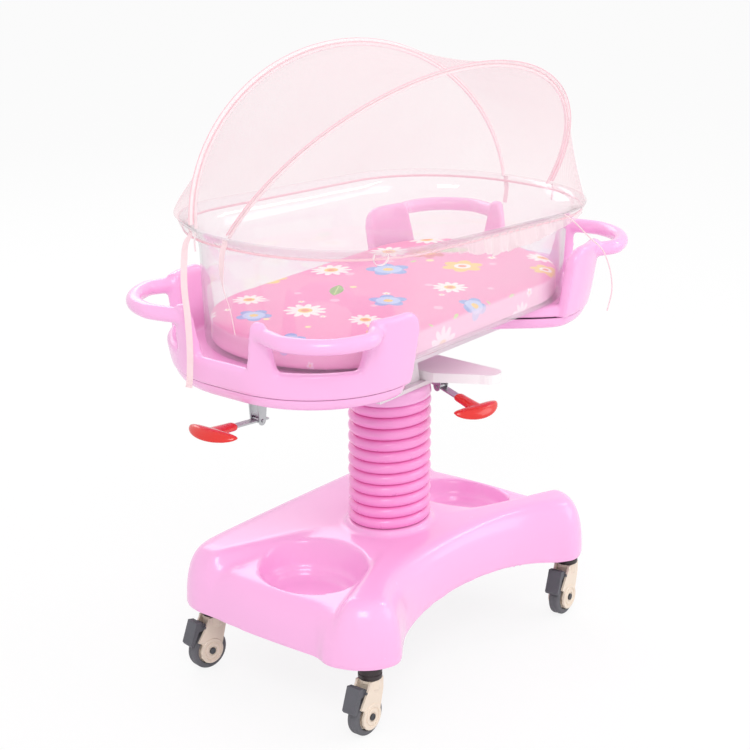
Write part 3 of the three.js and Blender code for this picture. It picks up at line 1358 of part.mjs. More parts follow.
// The grip: a socket over the strip, and a crossbar whose outer edge droops to a pull lip.
function leverGrip(reach) {
  const barCentre = reach + GRIP_SOCKET_LENGTH + GRIP_CHORD * 0.3;
  const spread = [-1, -0.92, -0.7, -0.35, 0.35, 0.7, 0.92, 1];
  const crossbar = loft(spread.map((across) => {
    const fullness = Math.sqrt(1.06 - across ** 2);
    const sweep = -10 * across ** 2;
    return ovalSection(10, (c, s) => {
      const out = GRIP_CHORD / 2 * fullness * c;
      const lip = GRIP_DEPTH * 0.32 * fullness * Math.max(0, c) ** 1.5;
      const z = GRIP_DEPTH * 0.34 * fullness * s - lip;
      return point(barCentre + sweep + out, across * GRIP_WIDTH / 2, z);
    });
  }));
  const socketSections = [0, 0.12, 0.55, 1.1];
  const socket = loft(socketSections.map((share) => {
    const fullness = share === 0 ? 0.8 : 1;
    const flare = 1 + 0.35 * share ** 2;
    return ovalSection(10, (c, s) => point(
      reach + GRIP_SOCKET_LENGTH * share,
      GRIP_SOCKET_WIDTH / 2 * fullness * flare * c,
      GRIP_SOCKET_THICKNESS / 2 * fullness * s,
    ));
  }));
  const t = LEVER_STRIP_THICKNESS / 2 + SEAT_GAP;
  const half = LEVER_STRIP_WIDTH / 2 + SEAT_GAP;
  return cut(join(crossbar, socket), box(0, stripEnd(reach) + SEAT_GAP, -half, half, -t, t));
}

function addLever(name, place, headingDeg, drop, reach, pitchDeg) {
  const lever = new THREE.Group();
  lever.position.copy(place);
  lever.rotation.z = THREE.MathUtils.degToRad(headingDeg);
  const arm = new THREE.Group();
  arm.position.z = -drop;
  arm.rotation.y = -THREE.MathUtils.degToRad(pitchDeg);
  addPiece(`${name}_lever_bracket`, leverBracket(drop), 'steel', lever);
  addPiece(`${name}_lever_pin`, rodAlongY(LEVER_PIN_DIAMETER / 2, leverPinHalf, 0, -drop), 'steel', lever);
  addPiece(`${name}_lever_strip`, leverStrip(reach), 'steel', arm);
  addPiece(`${name}_lever_grip`, leverGrip(reach), 'red', arm);
  lever.add(arm);
  model.add(lever);
}

addLever(
  'tilt', point(tiltLeverX, 0, TRAY_BOTTOM - SEAT_GAP), 180,
  TILT_LEVER_DROP, TILT_LEVER_REACH, TILT_LEVER_PITCH_DEG,
);
addLever(
  'height', point(HEIGHT_LEVER_X, HEIGHT_LEVER_Y, HEAD_BOTTOM - SEAT_GAP), HEIGHT_LEVER_HEADING_DEG,
  HEIGHT_LEVER_DROP, HEIGHT_LEVER_REACH, HEIGHT_LEVER_PITCH_DEG,
);

// The origin lies under the middle of the whole length: the tilt grip reaches past the handles.
model.updateMatrixWorld(true);
const handles = new THREE.Box3().setFromObject(model.getObjectByName('tray_upper'), true);
const tiltGrip = new THREE.Box3().setFromObject(model.getObjectByName('tilt_lever_grip'), true);
model.position.x = -(handles.max.x + tiltGrip.min.x) / 2;

export default model;
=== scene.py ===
import math

import bmesh
import bpy
import numpy as np
from mathutils import Matrix, Vector


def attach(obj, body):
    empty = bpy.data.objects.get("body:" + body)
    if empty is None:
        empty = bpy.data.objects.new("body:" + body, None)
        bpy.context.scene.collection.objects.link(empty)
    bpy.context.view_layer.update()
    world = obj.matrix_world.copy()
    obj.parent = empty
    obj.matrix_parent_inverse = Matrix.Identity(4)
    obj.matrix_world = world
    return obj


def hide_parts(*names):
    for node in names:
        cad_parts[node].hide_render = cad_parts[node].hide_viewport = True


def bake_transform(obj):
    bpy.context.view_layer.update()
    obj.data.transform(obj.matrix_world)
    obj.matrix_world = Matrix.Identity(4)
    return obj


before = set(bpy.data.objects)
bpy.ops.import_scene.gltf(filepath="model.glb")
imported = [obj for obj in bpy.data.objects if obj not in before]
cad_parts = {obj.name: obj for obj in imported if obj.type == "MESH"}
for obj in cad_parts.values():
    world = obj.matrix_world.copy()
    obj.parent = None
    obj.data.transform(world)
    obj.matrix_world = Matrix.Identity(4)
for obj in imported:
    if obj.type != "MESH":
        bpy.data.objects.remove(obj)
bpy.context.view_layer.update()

# Drawing sizes are in millimetres about the column's axis; SHIFT_X moves them into the part's frame.
SHIFT_X = 10.426
PLACES = {"head_right": (-315, -201, 0), "head_left": (-294, 190, 12),
          "foot_right": (315, -201, -5), "foot_left": (294, 190, 6)}
WHEEL_RADIUS = 37.5
CASTER_TRAIL = 15
TYRE_HALF = 11

BASE_BOTTOM = 129.6
BASE_CREST = 246
BASE_ARCH = 20
BASE_ARCH_HALF = 250
BASE_WALL = 4
SHOULDER_REACH = 50
SHOULDER_POWER = 2.6
TROUGH_DEPTH = 28
TROUGH_SPAN = (80, 330)
TROUGH_HALF = 62
TROUGH_SPREAD = 0.35
BOWL_CENTRE = 230
BOWL_TOP = (98, 110)
BOWL_DRAFT = 24
BOWL_FLOOR = 172
BOSS_TOP = 256
COLUMN_HOLE = 46
BASE_PLAN = [
    (0, 247), (-120, 247), (-235, 246), (-292, 242), (-328, 224), (-345, 190), (-348, 144),
    (-352, 100), (-356, 40), (-357, -30), (-355, -108), (-367, -138), (-366, -168), (-349, -206),
    (-317, -234), (-280, -241), (-242, -218), (-200, -194), (-140, -176), (-70, -166), (0, -163)]

BELLOWS_HALF = (84, 74)
BELLOWS_SPAN = (256.3, 498.3)
BELLOWS_RIBS = 11
BELLOWS_DEPTH = 9
COLLAR_SPAN = (498.6, 522.6)

TRAY_HALF = (455, 228)
TRAY_CORNER = 195
TRAY_WAIST = 118
TRAY_WAIST_HALF = 115
TRAY_BOTTOM = 609.9
PARTING_Z = 630.9
FLOOR_TOP = 654.9
FLOOR_THICKNESS = 11
EAR_WALL = 22
EAR_FLARE = 24
EAR_RISE = 136
EAR_SILL = 49
EAR_END_X = 235
END_GAP = 61
EAR_POST = 42
EAR_SIDE_POST = 112
BAR_RADIUS = 14
BAR_RISE = 114
BAR_REACH = 12
BAR_CORNER = 106

BASIN_HALF = (398, 214)
BASIN_CORNER = 200
BASIN_HEIGHT = 203
BASIN_BOTTOM = 655.2
BASIN_WALL = 3
RIM_FLARE = 34
RIM_LIP = 10
RIM_FALL = 6
RIM_SLOPE = 0.065

MATTRESS_SPAN = (658.5, 708.5)
MATTRESS_CROWN = 8
MATTRESS_EDGE = -11

HOOP_LEFT = dict(head=100, foot=45, crown=100, rise=288)
HOOP_RIGHT = dict(head=8, foot=-65, crown=-200, rise=280)
HEM_OVERLAP = 8
NET_SLACK = 10
HOOP_RADIUS = 2.6
HOOP_DROP = 7.2
SEAM_HALF = (4.0, 1.1)
HEM_DEPTH = 15
# Depth of the gathered hem along the right-hand side, as pairs of X and depth
RUFFLE = [(-434, 13), (-213, 15), (-117, 29), (-20, 48), (108, 46), (220, 30), (316, 21), (434, 15)]


# Mesh helpers

def to_frame(points):
    """Drawing millimetres to the part's frame in metres."""
    out = np.array(points, float).reshape(-1, 3)
    out[:, 0] += SHIFT_X
    return out / 1000.0


def new_object(name, points, faces, sharp=40):
    mesh = bpy.data.meshes.new(name)
    mesh.from_pydata([tuple(p) for p in to_frame(points)], [], [list(map(int, f)) for f in faces])
    mesh.update()
    obj = bpy.data.objects.new(name, mesh)
    bpy.context.scene.collection.objects.link(obj)
    smooth(obj, sharp)
    return obj


def smooth(obj, sharp=40):
    mesh = obj.data
    mesh.polygons.foreach_set("use_smooth", [True] * len(mesh.polygons))
    mesh.set_sharp_from_angle(angle=math.radians(sharp))


def outward(obj):
    """Turns a closed mesh's faces outwards."""
    bm = bmesh.new()
    bm.from_mesh(obj.data)
    bmesh.ops.recalc_face_normals(bm, faces=bm.faces)
    bm.to_mesh(obj.data)
    bm.free()
    return obj


def ring_faces(rows, count, joined=False, wrap=True):
    faces = []
    for k in range(rows if joined else rows - 1):
        a, b = k * count, ((k + 1) % rows) * count
        for j in range(count if wrap else count - 1):
            n = (j + 1) % count
            faces.append((a + j, a + n, b + n, b + j))
    return faces


def loft(name, rings, joined=False, caps=True, sharp=40):
    """A body through rings of equal length."""
    rings = [np.array(r, float) for r in rings]
    count = len(rings[0])
    faces = ring_faces(len(rings), count, joined)
    if caps and not joined:
        last = (len(rings) - 1) * count
        faces.append(tuple(range(count))[::-1])
        faces.append(tuple(range(last, last + count)))
    return outward(new_object(name, np.concatenate(rings), faces, sharp))


def sheet_mesh(name, rows, wrap=False, sharp=80):
    """An open sheet through rows of equal length."""
    rows = [np.array(r, float) for r in rows]
    return new_object(name, np.concatenate(rows), ring_faces(len(rows), len(rows[0]), False, wrap), sharp)


def revolve(name, profile, sides=48, sharp=35):
    """A lathe form about Z from (radius, height) pairs; its profile closes on itself."""
    angles = np.arange(sides) / sides * 2 * math.pi
    rings = [np.column_stack([r * np.cos(angles), r * np.sin(angles), np.full(sides, z)]) for r, z in profile]
    return loft(name, rings, joined=True, sharp=sharp)


def arc_resample(line, count, closed=False):
    """Points at equal distances along a polyline."""
    line = np.array(line, float)
    if closed:
        line = np.vstack([line, line[:1]])
    along = np.concatenate([[0], np.cumsum(np.linalg.norm(np.diff(line, axis=0), axis=1))])
    at = np.linspace(0, along[-1], count + 1)[:-1] if closed else np.linspace(0, along[-1], count)
    return np.column_stack([np.interp(at, along, line[:, i]) for i in range(line.shape[1])])


def spline(points, count):
    """A smooth line through points, sampled at equal distances."""
    p = np.array(points, float)
    p = np.vstack([2 * p[0] - p[1], p, 2 * p[-1] - p[-2]])
    t = np.linspace(0, 1, 24, endpoint=False)[:, None]
    out = []
    for a, b, c, d in zip(p[:-3], p[1:-2], p[2:-1], p[3:]):
        out.append(0.5 * (2 * b + (c - a) * t + (2 * a - 5 * b + 4 * c - d) * t ** 2
                          + (3 * b - 3 * c + d - a) * t ** 3))
    return arc_resample(np.vstack(out + [p[-2:-1]]), count)


def smoothstep(x, low, high):
    t = np.clip((np.asarray(x, float) - low) / (high - low), 0, 1)
    return t * t * (3 - 2 * t)


def tube_rings(path, radius, sides=16, flat=None):
    """Rings round a path; flat gives (half width, half thickness) and keeps the width level."""
    path = np.array(path, float)
    ahead = np.gradient(path, axis=0)
    ahead /= np.linalg.norm(ahead, axis=1)[:, None]
    side = np.cross(ahead[0], (0, 0, 1.0))
    if np.linalg.norm(side) < 1e-3:
        side = np.array((1.0, 0, 0))
    rings = []
    angles = np.arange(sides) / sides * 2 * math.pi
    for p, t in zip(path, ahead):
        side = side - t * side.dot(t)
        side /= np.linalg.norm(side)
        up = np.cross(side, t)
        a, b = flat or (radius, radius)
        rings.append(p + np.outer(np.cos(angles), side) * a + np.outer(np.sin(angles), up) * b)
    return rings


def join(name, objs):
    """Several meshes as one object."""
    bm = bmesh.new()
    for o in objs:
        bm.from_mesh(o.data)
        mesh = o.data
        bpy.data.objects.remove(o)
        bpy.data.meshes.remove(mesh)
    mesh = bpy.data.meshes.new(name)
    bm.to_mesh(mesh)
    bm.free()
    obj = bpy.data.objects.new(name, mesh)
    bpy.context.scene.collection.objects.link(obj)
    return obj


def apply_modifiers(obj):
    bpy.context.view_layer.update()
    done = bpy.data.meshes.new_from_object(obj.evaluated_get(bpy.context.evaluated_depsgraph_get()))
    obj.modifiers.clear()
    old = obj.data
    obj.data = done
    bpy.data.meshes.remove(old)
    return obj


def boolean(obj, other, operation):
    mod = obj.modifiers.new("cut", "BOOLEAN")
    mod.operation = operation
    mod.object = other
    mod.solver = "EXACT"
    apply_modifiers(obj)
    bpy.data.objects.remove(other)
    return obj


def melt(obj, voxel_mm, rounds):
    """One moulded skin: remeshes overlapping solids and eases every edge."""
    mod = obj.modifiers.new("remesh", "REMESH")
    mod.mode = "VOXEL"
    mod.voxel_size = voxel_mm / 1000
    mod.use_smooth_shade = True
    ease = obj.modifiers.new("ease", "SMOOTH")
    ease.factor = 0.5
    ease.iterations = rounds
    apply_modifiers(obj)
    smooth(obj, 70)
    return obj


# Materials

def nodes_of(name):
    mat = bpy.data.materials.new(name)
    mat.use_nodes = True
    tree = mat.node_tree
    shader = tree.nodes["Principled BSDF"]
    return mat, tree, shader


def add(tree, kind, **values):
    node = tree.nodes.new(kind)
    for key, value in values.items():
        if key.startswith("in_"):
            node.inputs[int(key[3:])].default_value = value
        else:
            setattr(node, key, value)
    return node


def math_node(tree, operation, a, b=None, c=None, clamp=False):
    node = add(tree, "ShaderNodeMath", operation=operation, use_clamp=clamp)
    for i, value in enumerate((a, b, c)):
        if value is None:
            continue
        if isinstance(value, (int, float)):
            node.inputs[i].default_value = value
        else:
            tree.links.new(value, node.inputs[i])
    return node.outputs[0]


def mix_colour(tree, factor, a, b):
    node = add(tree, "ShaderNodeMix", data_type="RGBA")
    for socket, value in ((node.inputs[0], factor), (node.inputs[6], a), (node.inputs[7], b)):
        if isinstance(value, (int, float)):
            socket.default_value = value
        elif isinstance(value, tuple):
            socket.default_value = (*value, 1.0)
        else:
            tree.links.new(value, socket)
    return node.outputs[2]


def srgb(r, g, b):
    def linear(v):
        v /= 255
        return v / 12.92 if v <= 0.04045 else ((v + 0.055) / 1.055) ** 2.4
    return (linear(r), linear(g), linear(b))


def object_noise(tree, scale, detail=3.0, roughness=0.5):
    coords = add(tree, "ShaderNodeTexCoord")
    noise = add(tree, "ShaderNodeTexNoise")
    noise.inputs["Scale"].default_value = scale
    noise.inputs["Detail"].default_value = detail
    noise.inputs["Roughness"].default_value = roughness
    tree.links.new(coords.outputs["Object"], noise.inputs["Vector"])
    return noise.outputs["Fac"]


def ramp(tree, value, low, high):
    node = add(tree, "ShaderNodeMapRange")
    tree.links.new(value, node.inputs[0])
    node.inputs[3].default_value = low
    node.inputs[4].default_value = high
    return node.outputs[0]


def bump(tree, shader, height, strength, distance):
    node = add(tree, "ShaderNodeBump")
    node.inputs["Strength"].default_value = strength
    node.inputs["Distance"].default_value = distance
    tree.links.new(height, node.inputs["Height"])
    tree.links.new(node.outputs[0], shader.inputs["Normal"])


def moulded(name, colour, rough=(0.26, 0.36), coat=0.25, tint=0.94, peel=0.0002, speck=900, ior=1.46):
    """Moulded plastic: faint mottling, uneven gloss and a fine orange-peel skin."""
    mat, tree, shader = nodes_of(name)
    broad = object_noise(tree, 9, 4)
    dark = tuple(c * tint for c in colour)
    tree.links.new(mix_colour(tree, broad, colour, dark), shader.inputs["Base Color"])
    tree.links.new(ramp(tree, object_noise(tree, 38, 5), *rough), shader.inputs["Roughness"])
    shader.inputs["Coat Weight"].default_value = coat
    shader.inputs["Coat Roughness"].default_value = 0.12
    shader.inputs["IOR"].default_value = ior
    bump(tree, shader, object_noise(tree, speck, 2), 0.12, peel)
    return mat


def metal(name, colour, rough=(0.25, 0.42), grain=(40, 900, 900)):
    """Plated steel with a drawn grain and cloudy reflections."""
    mat, tree, shader = nodes_of(name)
    coords = add(tree, "ShaderNodeTexCoord")
    stretch = add(tree, "ShaderNodeMapping")
    stretch.inputs["Scale"].default_value = grain
    tree.links.new(coords.outputs["Object"], stretch.inputs[0])
    lines = add(tree, "ShaderNodeTexNoise")
    lines.inputs["Scale"].default_value = 1.0
    lines.inputs["Detail"].default_value = 4
    tree.links.new(stretch.outputs[0], lines.inputs["Vector"])
    cloudy = object_noise(tree, 60, 4)
    tree.links.new(mix_colour(tree, cloudy, colour, tuple(c * 0.82 for c in colour)), shader.inputs["Base Color"])
    shader.inputs["Metallic"].default_value = 1.0
    tree.links.new(ramp(tree, lines.outputs["Fac"], *rough), shader.inputs["Roughness"])
    bump(tree, shader, lines.outputs["Fac"], 0.1, 0.0002)
    return mat


def rubber(name, colour):
    mat, tree, shader = nodes_of(name)
    dust = ramp(tree, object_noise(tree, 55, 5), 0.0, 0.5)
    tree.links.new(mix_colour(tree, dust, colour, tuple(c * 1.5 for c in colour)), shader.inputs["Base Color"])
    tree.links.new(ramp(tree, object_noise(tree, 140, 3), 0.5, 0.72), shader.inputs["Roughness"])
    bump(tree, shader, object_noise(tree, 1500, 3), 0.25, 0.0003)
    return mat


def weave_height(tree, pitch_mm):
    """Over-and-under threads along X and Y, as a height."""
    coords = add(tree, "ShaderNodeTexCoord")
    split = add(tree, "ShaderNodeSeparateXYZ")
    tree.links.new(coords.outputs["Object"], split.inputs[0])
    k = math.pi / (pitch_mm / 1000)
    a = math_node(tree, "SINE", math_node(tree, "MULTIPLY", math_node(tree, "ADD", split.outputs[0], split.outputs[2]), k))
    b = math_node(tree, "SINE", math_node(tree, "MULTIPLY", math_node(tree, "ADD", split.outputs[1], split.outputs[2]), k))
    return math_node(tree, "MULTIPLY", a, b)


def cloth(name, colour, pitch=0.8, sheen=0.3, rough=0.85, tint=0.9):
    mat, tree, shader = nodes_of(name)
    fuzz = object_noise(tree, 120, 4)
    tree.links.new(mix_colour(tree, fuzz, colour, tuple(c * tint for c in colour)), shader.inputs["Base Color"])
    shader.inputs["Roughness"].default_value = rough
    shader.inputs["Sheen Weight"].default_value = sheen
    bump(tree, shader, weave_height(tree, pitch), 0.35, 0.0003)
    return mat


def lets_light_in(tree, alpha, share):
    """Thins a clear or woven piece for the light that falls through it."""
    path = add(tree, "ShaderNodeLightPath")
    falling = math_node(tree, "MAXIMUM", path.outputs["Is Shadow Ray"], path.outputs["Is Diffuse Ray"])
    return math_node(tree, "MULTIPLY", alpha, math_node(tree, "MULTIPLY_ADD", falling, -share, 1))


def clear_plastic(name):
    """Clear moulded sheet: whitens where it is seen edge-on, and shines."""
    mat, tree, shader = nodes_of(name)
    shader.inputs["Base Color"].default_value = (0.93, 0.8, 0.88, 1)
    shader.inputs["Specular IOR Level"].default_value = 0.8
    shader.inputs["Coat Weight"].default_value = 0.6
    shader.inputs["Coat Roughness"].default_value = 0.03
    facing = add(tree, "ShaderNodeLayerWeight")
    facing.inputs["Blend"].default_value = 0.35
    edge = math_node(tree, "POWER", facing.outputs["Facing"], 2.4)
    haze = ramp(tree, object_noise(tree, 16, 4), 0.0, 0.04)
    alpha = math_node(tree, "ADD", math_node(tree, "MULTIPLY_ADD", edge, 0.42, 0.09), haze, clamp=True)
    tree.links.new(lets_light_in(tree, alpha, 0.7), shader.inputs["Alpha"])
    tree.links.new(ramp(tree, object_noise(tree, 30, 3), 0.03, 0.1), shader.inputs["Roughness"])
    shine = add(tree, "ShaderNodeBsdfGlossy")
    shine.inputs["Roughness"].default_value = 0.04
    grazing = add(tree, "ShaderNodeLayerWeight")
    grazing.inputs["Blend"].default_value = 0.5
    mirror = math_node(tree, "MULTIPLY_ADD", math_node(tree, "POWER", grazing.outputs["Facing"], 5), 0.7, 0.04)
    both = add(tree, "ShaderNodeMixShader")
    tree.links.new(lets_light_in(tree, mirror, 0.7), both.inputs[0])
    tree.links.new(shader.outputs[0], both.inputs[1])
    tree.links.new(shine.outputs[0], both.inputs[2])
    tree.links.new(both.outputs[0], tree.nodes["Material Output"].inputs[0])
    return mat


def net_cloth(name, colour, low, gain, bunched=0.0):
    """Fine net: denser where it is seen edge-on or lies in folds, with a thread grid and cloudy density."""
    mat, tree, shader = nodes_of(name)
    shader.inputs["Base Color"].default_value = (*colour, 1)
    shader.inputs["Roughness"].default_value = 0.9
    shader.inputs["Sheen Weight"].default_value = 0.25
    facing = add(tree, "ShaderNodeLayerWeight")
    facing.inputs["Blend"].default_value = 0.4
    edge = math_node(tree, "POWER", facing.outputs["Facing"], 1.6)
    cloud = ramp(tree, object_noise(tree, 7, 5), -0.05, 0.05)
    grid = math_node(tree, "MULTIPLY", weave_height(tree, 1.6), 0.05)
    body = math_node(tree, "MULTIPLY_ADD", edge, gain, low)
    if bunched:
        folds = add(tree, "ShaderNodeAttribute", attribute_name="fullness").outputs["Fac"]
        body = math_node(tree, "MULTIPLY_ADD", folds, bunched, body)
    total = math_node(tree, "ADD", math_node(tree, "ADD", body, cloud), grid, clamp=True)
    tree.links.new(lets_light_in(tree, total, 0.7), shader.inputs["Alpha"])
    return mat


def print_layer(tree, uv, cell_mm, size_mm, base, motifs, randomness):
    """Scatters small printed motifs, one in each cell, over a base colour."""
    cells = add(tree, "ShaderNodeTexVoronoi", voronoi_dimensions="2D")
    cells.inputs["Scale"].default_value = 1000 / cell_mm
    cells.inputs["Randomness"].default_value = randomness
    tree.links.new(uv, cells.inputs["Vector"])
    local = add(tree, "ShaderNodeVectorMath", operation="SUBTRACT")
    tree.links.new(uv, local.inputs[0])
    tree.links.new(cells.outputs["Position"], local.inputs[1])
    chance = add(tree, "ShaderNodeSeparateColor")
    tree.links.new(cells.outputs["Color"], chance.inputs[0])
    turn = math_node(tree, "MULTIPLY", chance.outputs[0], 2 * math.pi)
    spun = add(tree, "ShaderNodeVectorRotate", rotation_type="Z_AXIS")
    tree.links.new(local.outputs[0], spun.inputs["Vector"])
    tree.links.new(turn, spun.inputs["Angle"])
    flat = add(tree, "ShaderNodeSeparateXYZ")
    tree.links.new(spun.outputs[0], flat.inputs[0])
    size = ramp(tree, chance.outputs[2], size_mm[0] / 1000, size_mm[1] / 1000)
    x = math_node(tree, "DIVIDE", flat.outputs[0], size)
    y = math_node(tree, "DIVIDE", flat.outputs[1], size)
    radius = math_node(tree, "SQRT", math_node(tree, "ADD", math_node(tree, "MULTIPLY", x, x),
                                               math_node(tree, "MULTIPLY", y, y)))
    angle = math_node(tree, "ARCTAN2", y, x)
    colour = base
    for low, high, shapes in motifs:
        chosen = math_node(tree, "MULTIPLY", math_node(tree, "GREATER_THAN", chance.outputs[1], low),
                           math_node(tree, "LESS_THAN", chance.outputs[1], high))
        for kind, amount, tone in shapes:
            if kind == "petals":
                wave = math_node(tree, "ABSOLUTE", math_node(
                    tree, "COSINE", math_node(tree, "MULTIPLY", angle, amount[0] / 2)))
                edge = math_node(tree, "MULTIPLY_ADD", wave, amount[1], 1 - amount[1])
                mask = math_node(tree, "LESS_THAN", radius, edge)
            elif kind == "disc":
                mask = math_node(tree, "LESS_THAN", radius, amount)
            elif kind == "leaf":
                fall = math_node(tree, "SUBTRACT", 1, math_node(tree, "MULTIPLY", x, x))
                half = math_node(tree, "MULTIPLY", fall, amount)
                mask = math_node(tree, "LESS_THAN", math_node(tree, "ABSOLUTE", y), half)
            else:
                inside = math_node(tree, "LESS_THAN", math_node(tree, "ABSOLUTE", x), 0.8)
                line = math_node(tree, "LESS_THAN", math_node(tree, "ABSOLUTE", y), amount)
                mask = math_node(tree, "MULTIPLY", inside, line)
            colour = mix_colour(tree, math_node(tree, "MULTIPLY", mask, chosen), colour, tone)
    return colour


def side_panel(tree):
    """Weight of the paler cloth round the mattress's sides."""
    coords = add(tree, "ShaderNodeTexCoord")
    split = add(tree, "ShaderNodeSeparateXYZ")
    tree.links.new(coords.outputs["Object"], split.inputs[0])
    panel = add(tree, "ShaderNodeMapRange", clamp=True)
    tree.links.new(split.outputs[2], panel.inputs[0])
    top = (MATTRESS_SPAN[1] - 5) / 1000
    for i, value in enumerate((top, top - 0.006, 0.0, 0.55), start=1):
        panel.inputs[i].default_value = value
    return panel.outputs[0]


def printed_cloth(name):
    """Pink cotton printed with daisies, leaves and dots."""
    mat, tree, shader = nodes_of(name)
    uv = add(tree, "ShaderNodeUVMap", uv_map="print").outputs[0]
    ground = mix_colour(tree, object_noise(tree, 5, 3), srgb(246, 142, 193), srgb(243, 124, 180))
    white, yellow, orange = srgb(253, 246, 240), srgb(247, 205, 70), srgb(240, 130, 60)
    green, pale_green = srgb(110, 178, 44), srgb(190, 220, 110)
    blue, pale_blue = srgb(110, 158, 224), srgb(176, 204, 244)
    red, rose, cream = srgb(221, 70, 82), srgb(250, 186, 214), srgb(250, 232, 160)
    small = print_layer(tree, uv, 84, (6, 10), ground, [
        (0.0, 0.3, [("disc", 1.0, rose)]),
        (0.3, 0.5, [("disc", 0.8, cream)]),
        (0.5, 0.72, [("petals", (5, 0.45), white), ("disc", 0.3, yellow)]),
        (0.72, 0.86, [("leaf", 0.42, pale_green)]),
    ], 0.8)
    large = print_layer(tree, uv, 128, (28, 42), small, [
        (0.0, 0.3, [("petals", (11, 0.42), white), ("disc", 0.34, yellow), ("disc", 0.2, orange)]),
        (0.3, 0.52, [("leaf", 0.36, green), ("vein", 0.035, pale_green)]),
        (0.52, 0.72, [("petals", (5, 0.36), blue), ("disc", 0.62, pale_blue), ("disc", 0.24, yellow)]),
        (0.72, 0.86, [("petals", (8, 0.3), red), ("disc", 0.46, orange), ("disc", 0.26, yellow)]),
        (0.86, 1.0, [("petals", (6, 0.34), yellow), ("disc", 0.4, white), ("disc", 0.2, orange)]),
    ], 0.7)
    faded = mix_colour(tree, ramp(tree, object_noise(tree, 260, 4), 0.0, 0.16), large, srgb(250, 205, 225))
    tree.links.new(mix_colour(tree, side_panel(tree), faded, srgb(255, 222, 243)), shader.inputs["Base Color"])
    shader.inputs["Roughness"].default_value = 0.8
    shader.inputs["Sheen Weight"].default_value = 0.2
    bump(tree, shader, weave_height(tree, 0.7), 0.3, 0.0003)
    return mat


def ribbed_pink(name):
    """Bellows plastic with painted shade in its grooves: the colour turns a deeper, duller pink where a painted groove
    weight is high.
    """
    mat, tree, shader = nodes_of(name)
    # Painted shade: depth is the painted groove weight, and it darkens the mottled pink to a deep pink in each groove,
    # standing in for the shade there.
    depth = add(tree, "ShaderNodeAttribute", attribute_name="groove_shade").outputs["Fac"]
    mottled = mix_colour(tree, object_noise(tree, 14, 4), srgb(252, 166, 222), srgb(248, 152, 214))
    tree.links.new(mix_colour(tree, depth, mottled, srgb(240, 118, 192)), shader.inputs["Base Color"])
    tree.links.new(ramp(tree, object_noise(tree, 42, 4), 0.24, 0.34), shader.inputs["Roughness"])
    shader.inputs["Coat Weight"].default_value = 0.3
    shader.inputs["Coat Roughness"].default_value = 0.1
    bump(tree, shader, object_noise(tree, 700, 2), 0.1, 0.0002)
    return mat


pink = moulded("pink_shell", srgb(251, 184, 231), (0.2, 0.3), 0.35, 0.97)
bellows_pink = ribbed_pink("bellows_pink")
beige = moulded("beige_plastic", srgb(238, 222, 204), (0.3, 0.42), 0.2, 0.95)
black = moulded("black_plastic", srgb(58, 48, 50), (0.4, 0.55), 0.1, 0.8)
grey = rubber("tyre_rubber", srgb(92, 92, 97))
pedal_grey = rubber("pedal_plastic", srgb(86, 86, 92))
red = moulded("red_grip", srgb(228, 30, 22), (0.18, 0.28), 0.5, 0.9)
white = moulded("white_board", srgb(246, 243, 243), (0.32, 0.45), 0.1, 0.97)
zinc = metal("zinc_steel", srgb(200, 201, 204))
dark_steel = metal("dark_steel", srgb(92, 92, 97), (0.35, 0.5))
enamel = moulded("enamelled_steel", srgb(236, 228, 233), (0.3, 0.42), 0.2, 0.97)
acrylic = clear_plastic("clear_plastic")
net_look = net_cloth("net_cloth", srgb(243, 203, 210), 0.12, 0.28)
hem_look = net_cloth("net_hem", srgb(234, 212, 217), 0.2, 0.34, 0.72)
piping = cloth("hoop_sleeve", srgb(255, 238, 240), 0.9)
seam_edge = cloth("hoop_seam", srgb(253, 206, 215), 0.6)
elastic = cloth("elastic", srgb(253, 206, 216), 0.7)
tape_look = cloth("tape_cloth", srgb(254, 224, 229), 0.7)
printed = printed_cloth("mattress_cloth")


def dress(obj, material):
    obj.data.materials.clear()
    obj.data.materials.append(material)
    return obj


def stand_for(obj, material, body, *nodes, slot=None):
    """A finished piece: its look, the body it moves with and the solids that it stands for."""
    dress(obj, material)
    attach(obj, body)
    if nodes:
        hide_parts(*nodes)
    return obj


# Camera, light and floor

def add_camera():
    camera = bpy.data.objects.new("camera", bpy.data.cameras.new("camera"))
    camera.data.lens = 96
    camera.data.sensor_width = 36
    azimuth, elevation = math.radians(-51.891), math.radians(18.641)
    back = Vector((math.sin(azimuth) * math.cos(elevation),
                   -math.cos(azimuth) * math.cos(elevation), math.sin(elevation)))
    camera.location = ((-2786.7 + SHIFT_X) / 1000, -2.1507, 1.7234)
    camera.rotation_mode = "QUATERNION"
    camera.rotation_quaternion = (-back).to_track_quat("-Z", "Y")
    bpy.context.scene.collection.objects.link(camera)
    bpy.context.scene.camera = camera


def add_lamp(name, place, target, size, power):
    lamp = bpy.data.objects.new(name, bpy.data.lights.new(name, "AREA"))
    lamp.data.shape = "RECTANGLE"
    lamp.data.size, lamp.data.size_y = size
    lamp.data.energy = power
    lamp.location = place
    lamp.rotation_mode = "QUATERNION"
    lamp.rotation_quaternion = (Vector(target) - Vector(place)).to_track_quat("-Z", "Y")
    bpy.context.scene.collection.objects.link(lamp)


def seen_directly(tree):
    """1 for rays from the camera, reflections and clear pieces."""
    path = add(tree, "ShaderNodeLightPath")
    most = math_node(tree, "MAXIMUM", path.outputs["Is Camera Ray"], path.outputs["Is Glossy Ray"])
    return math_node(tree, "MAXIMUM", most, path.outputs["Is Transmission Ray"])


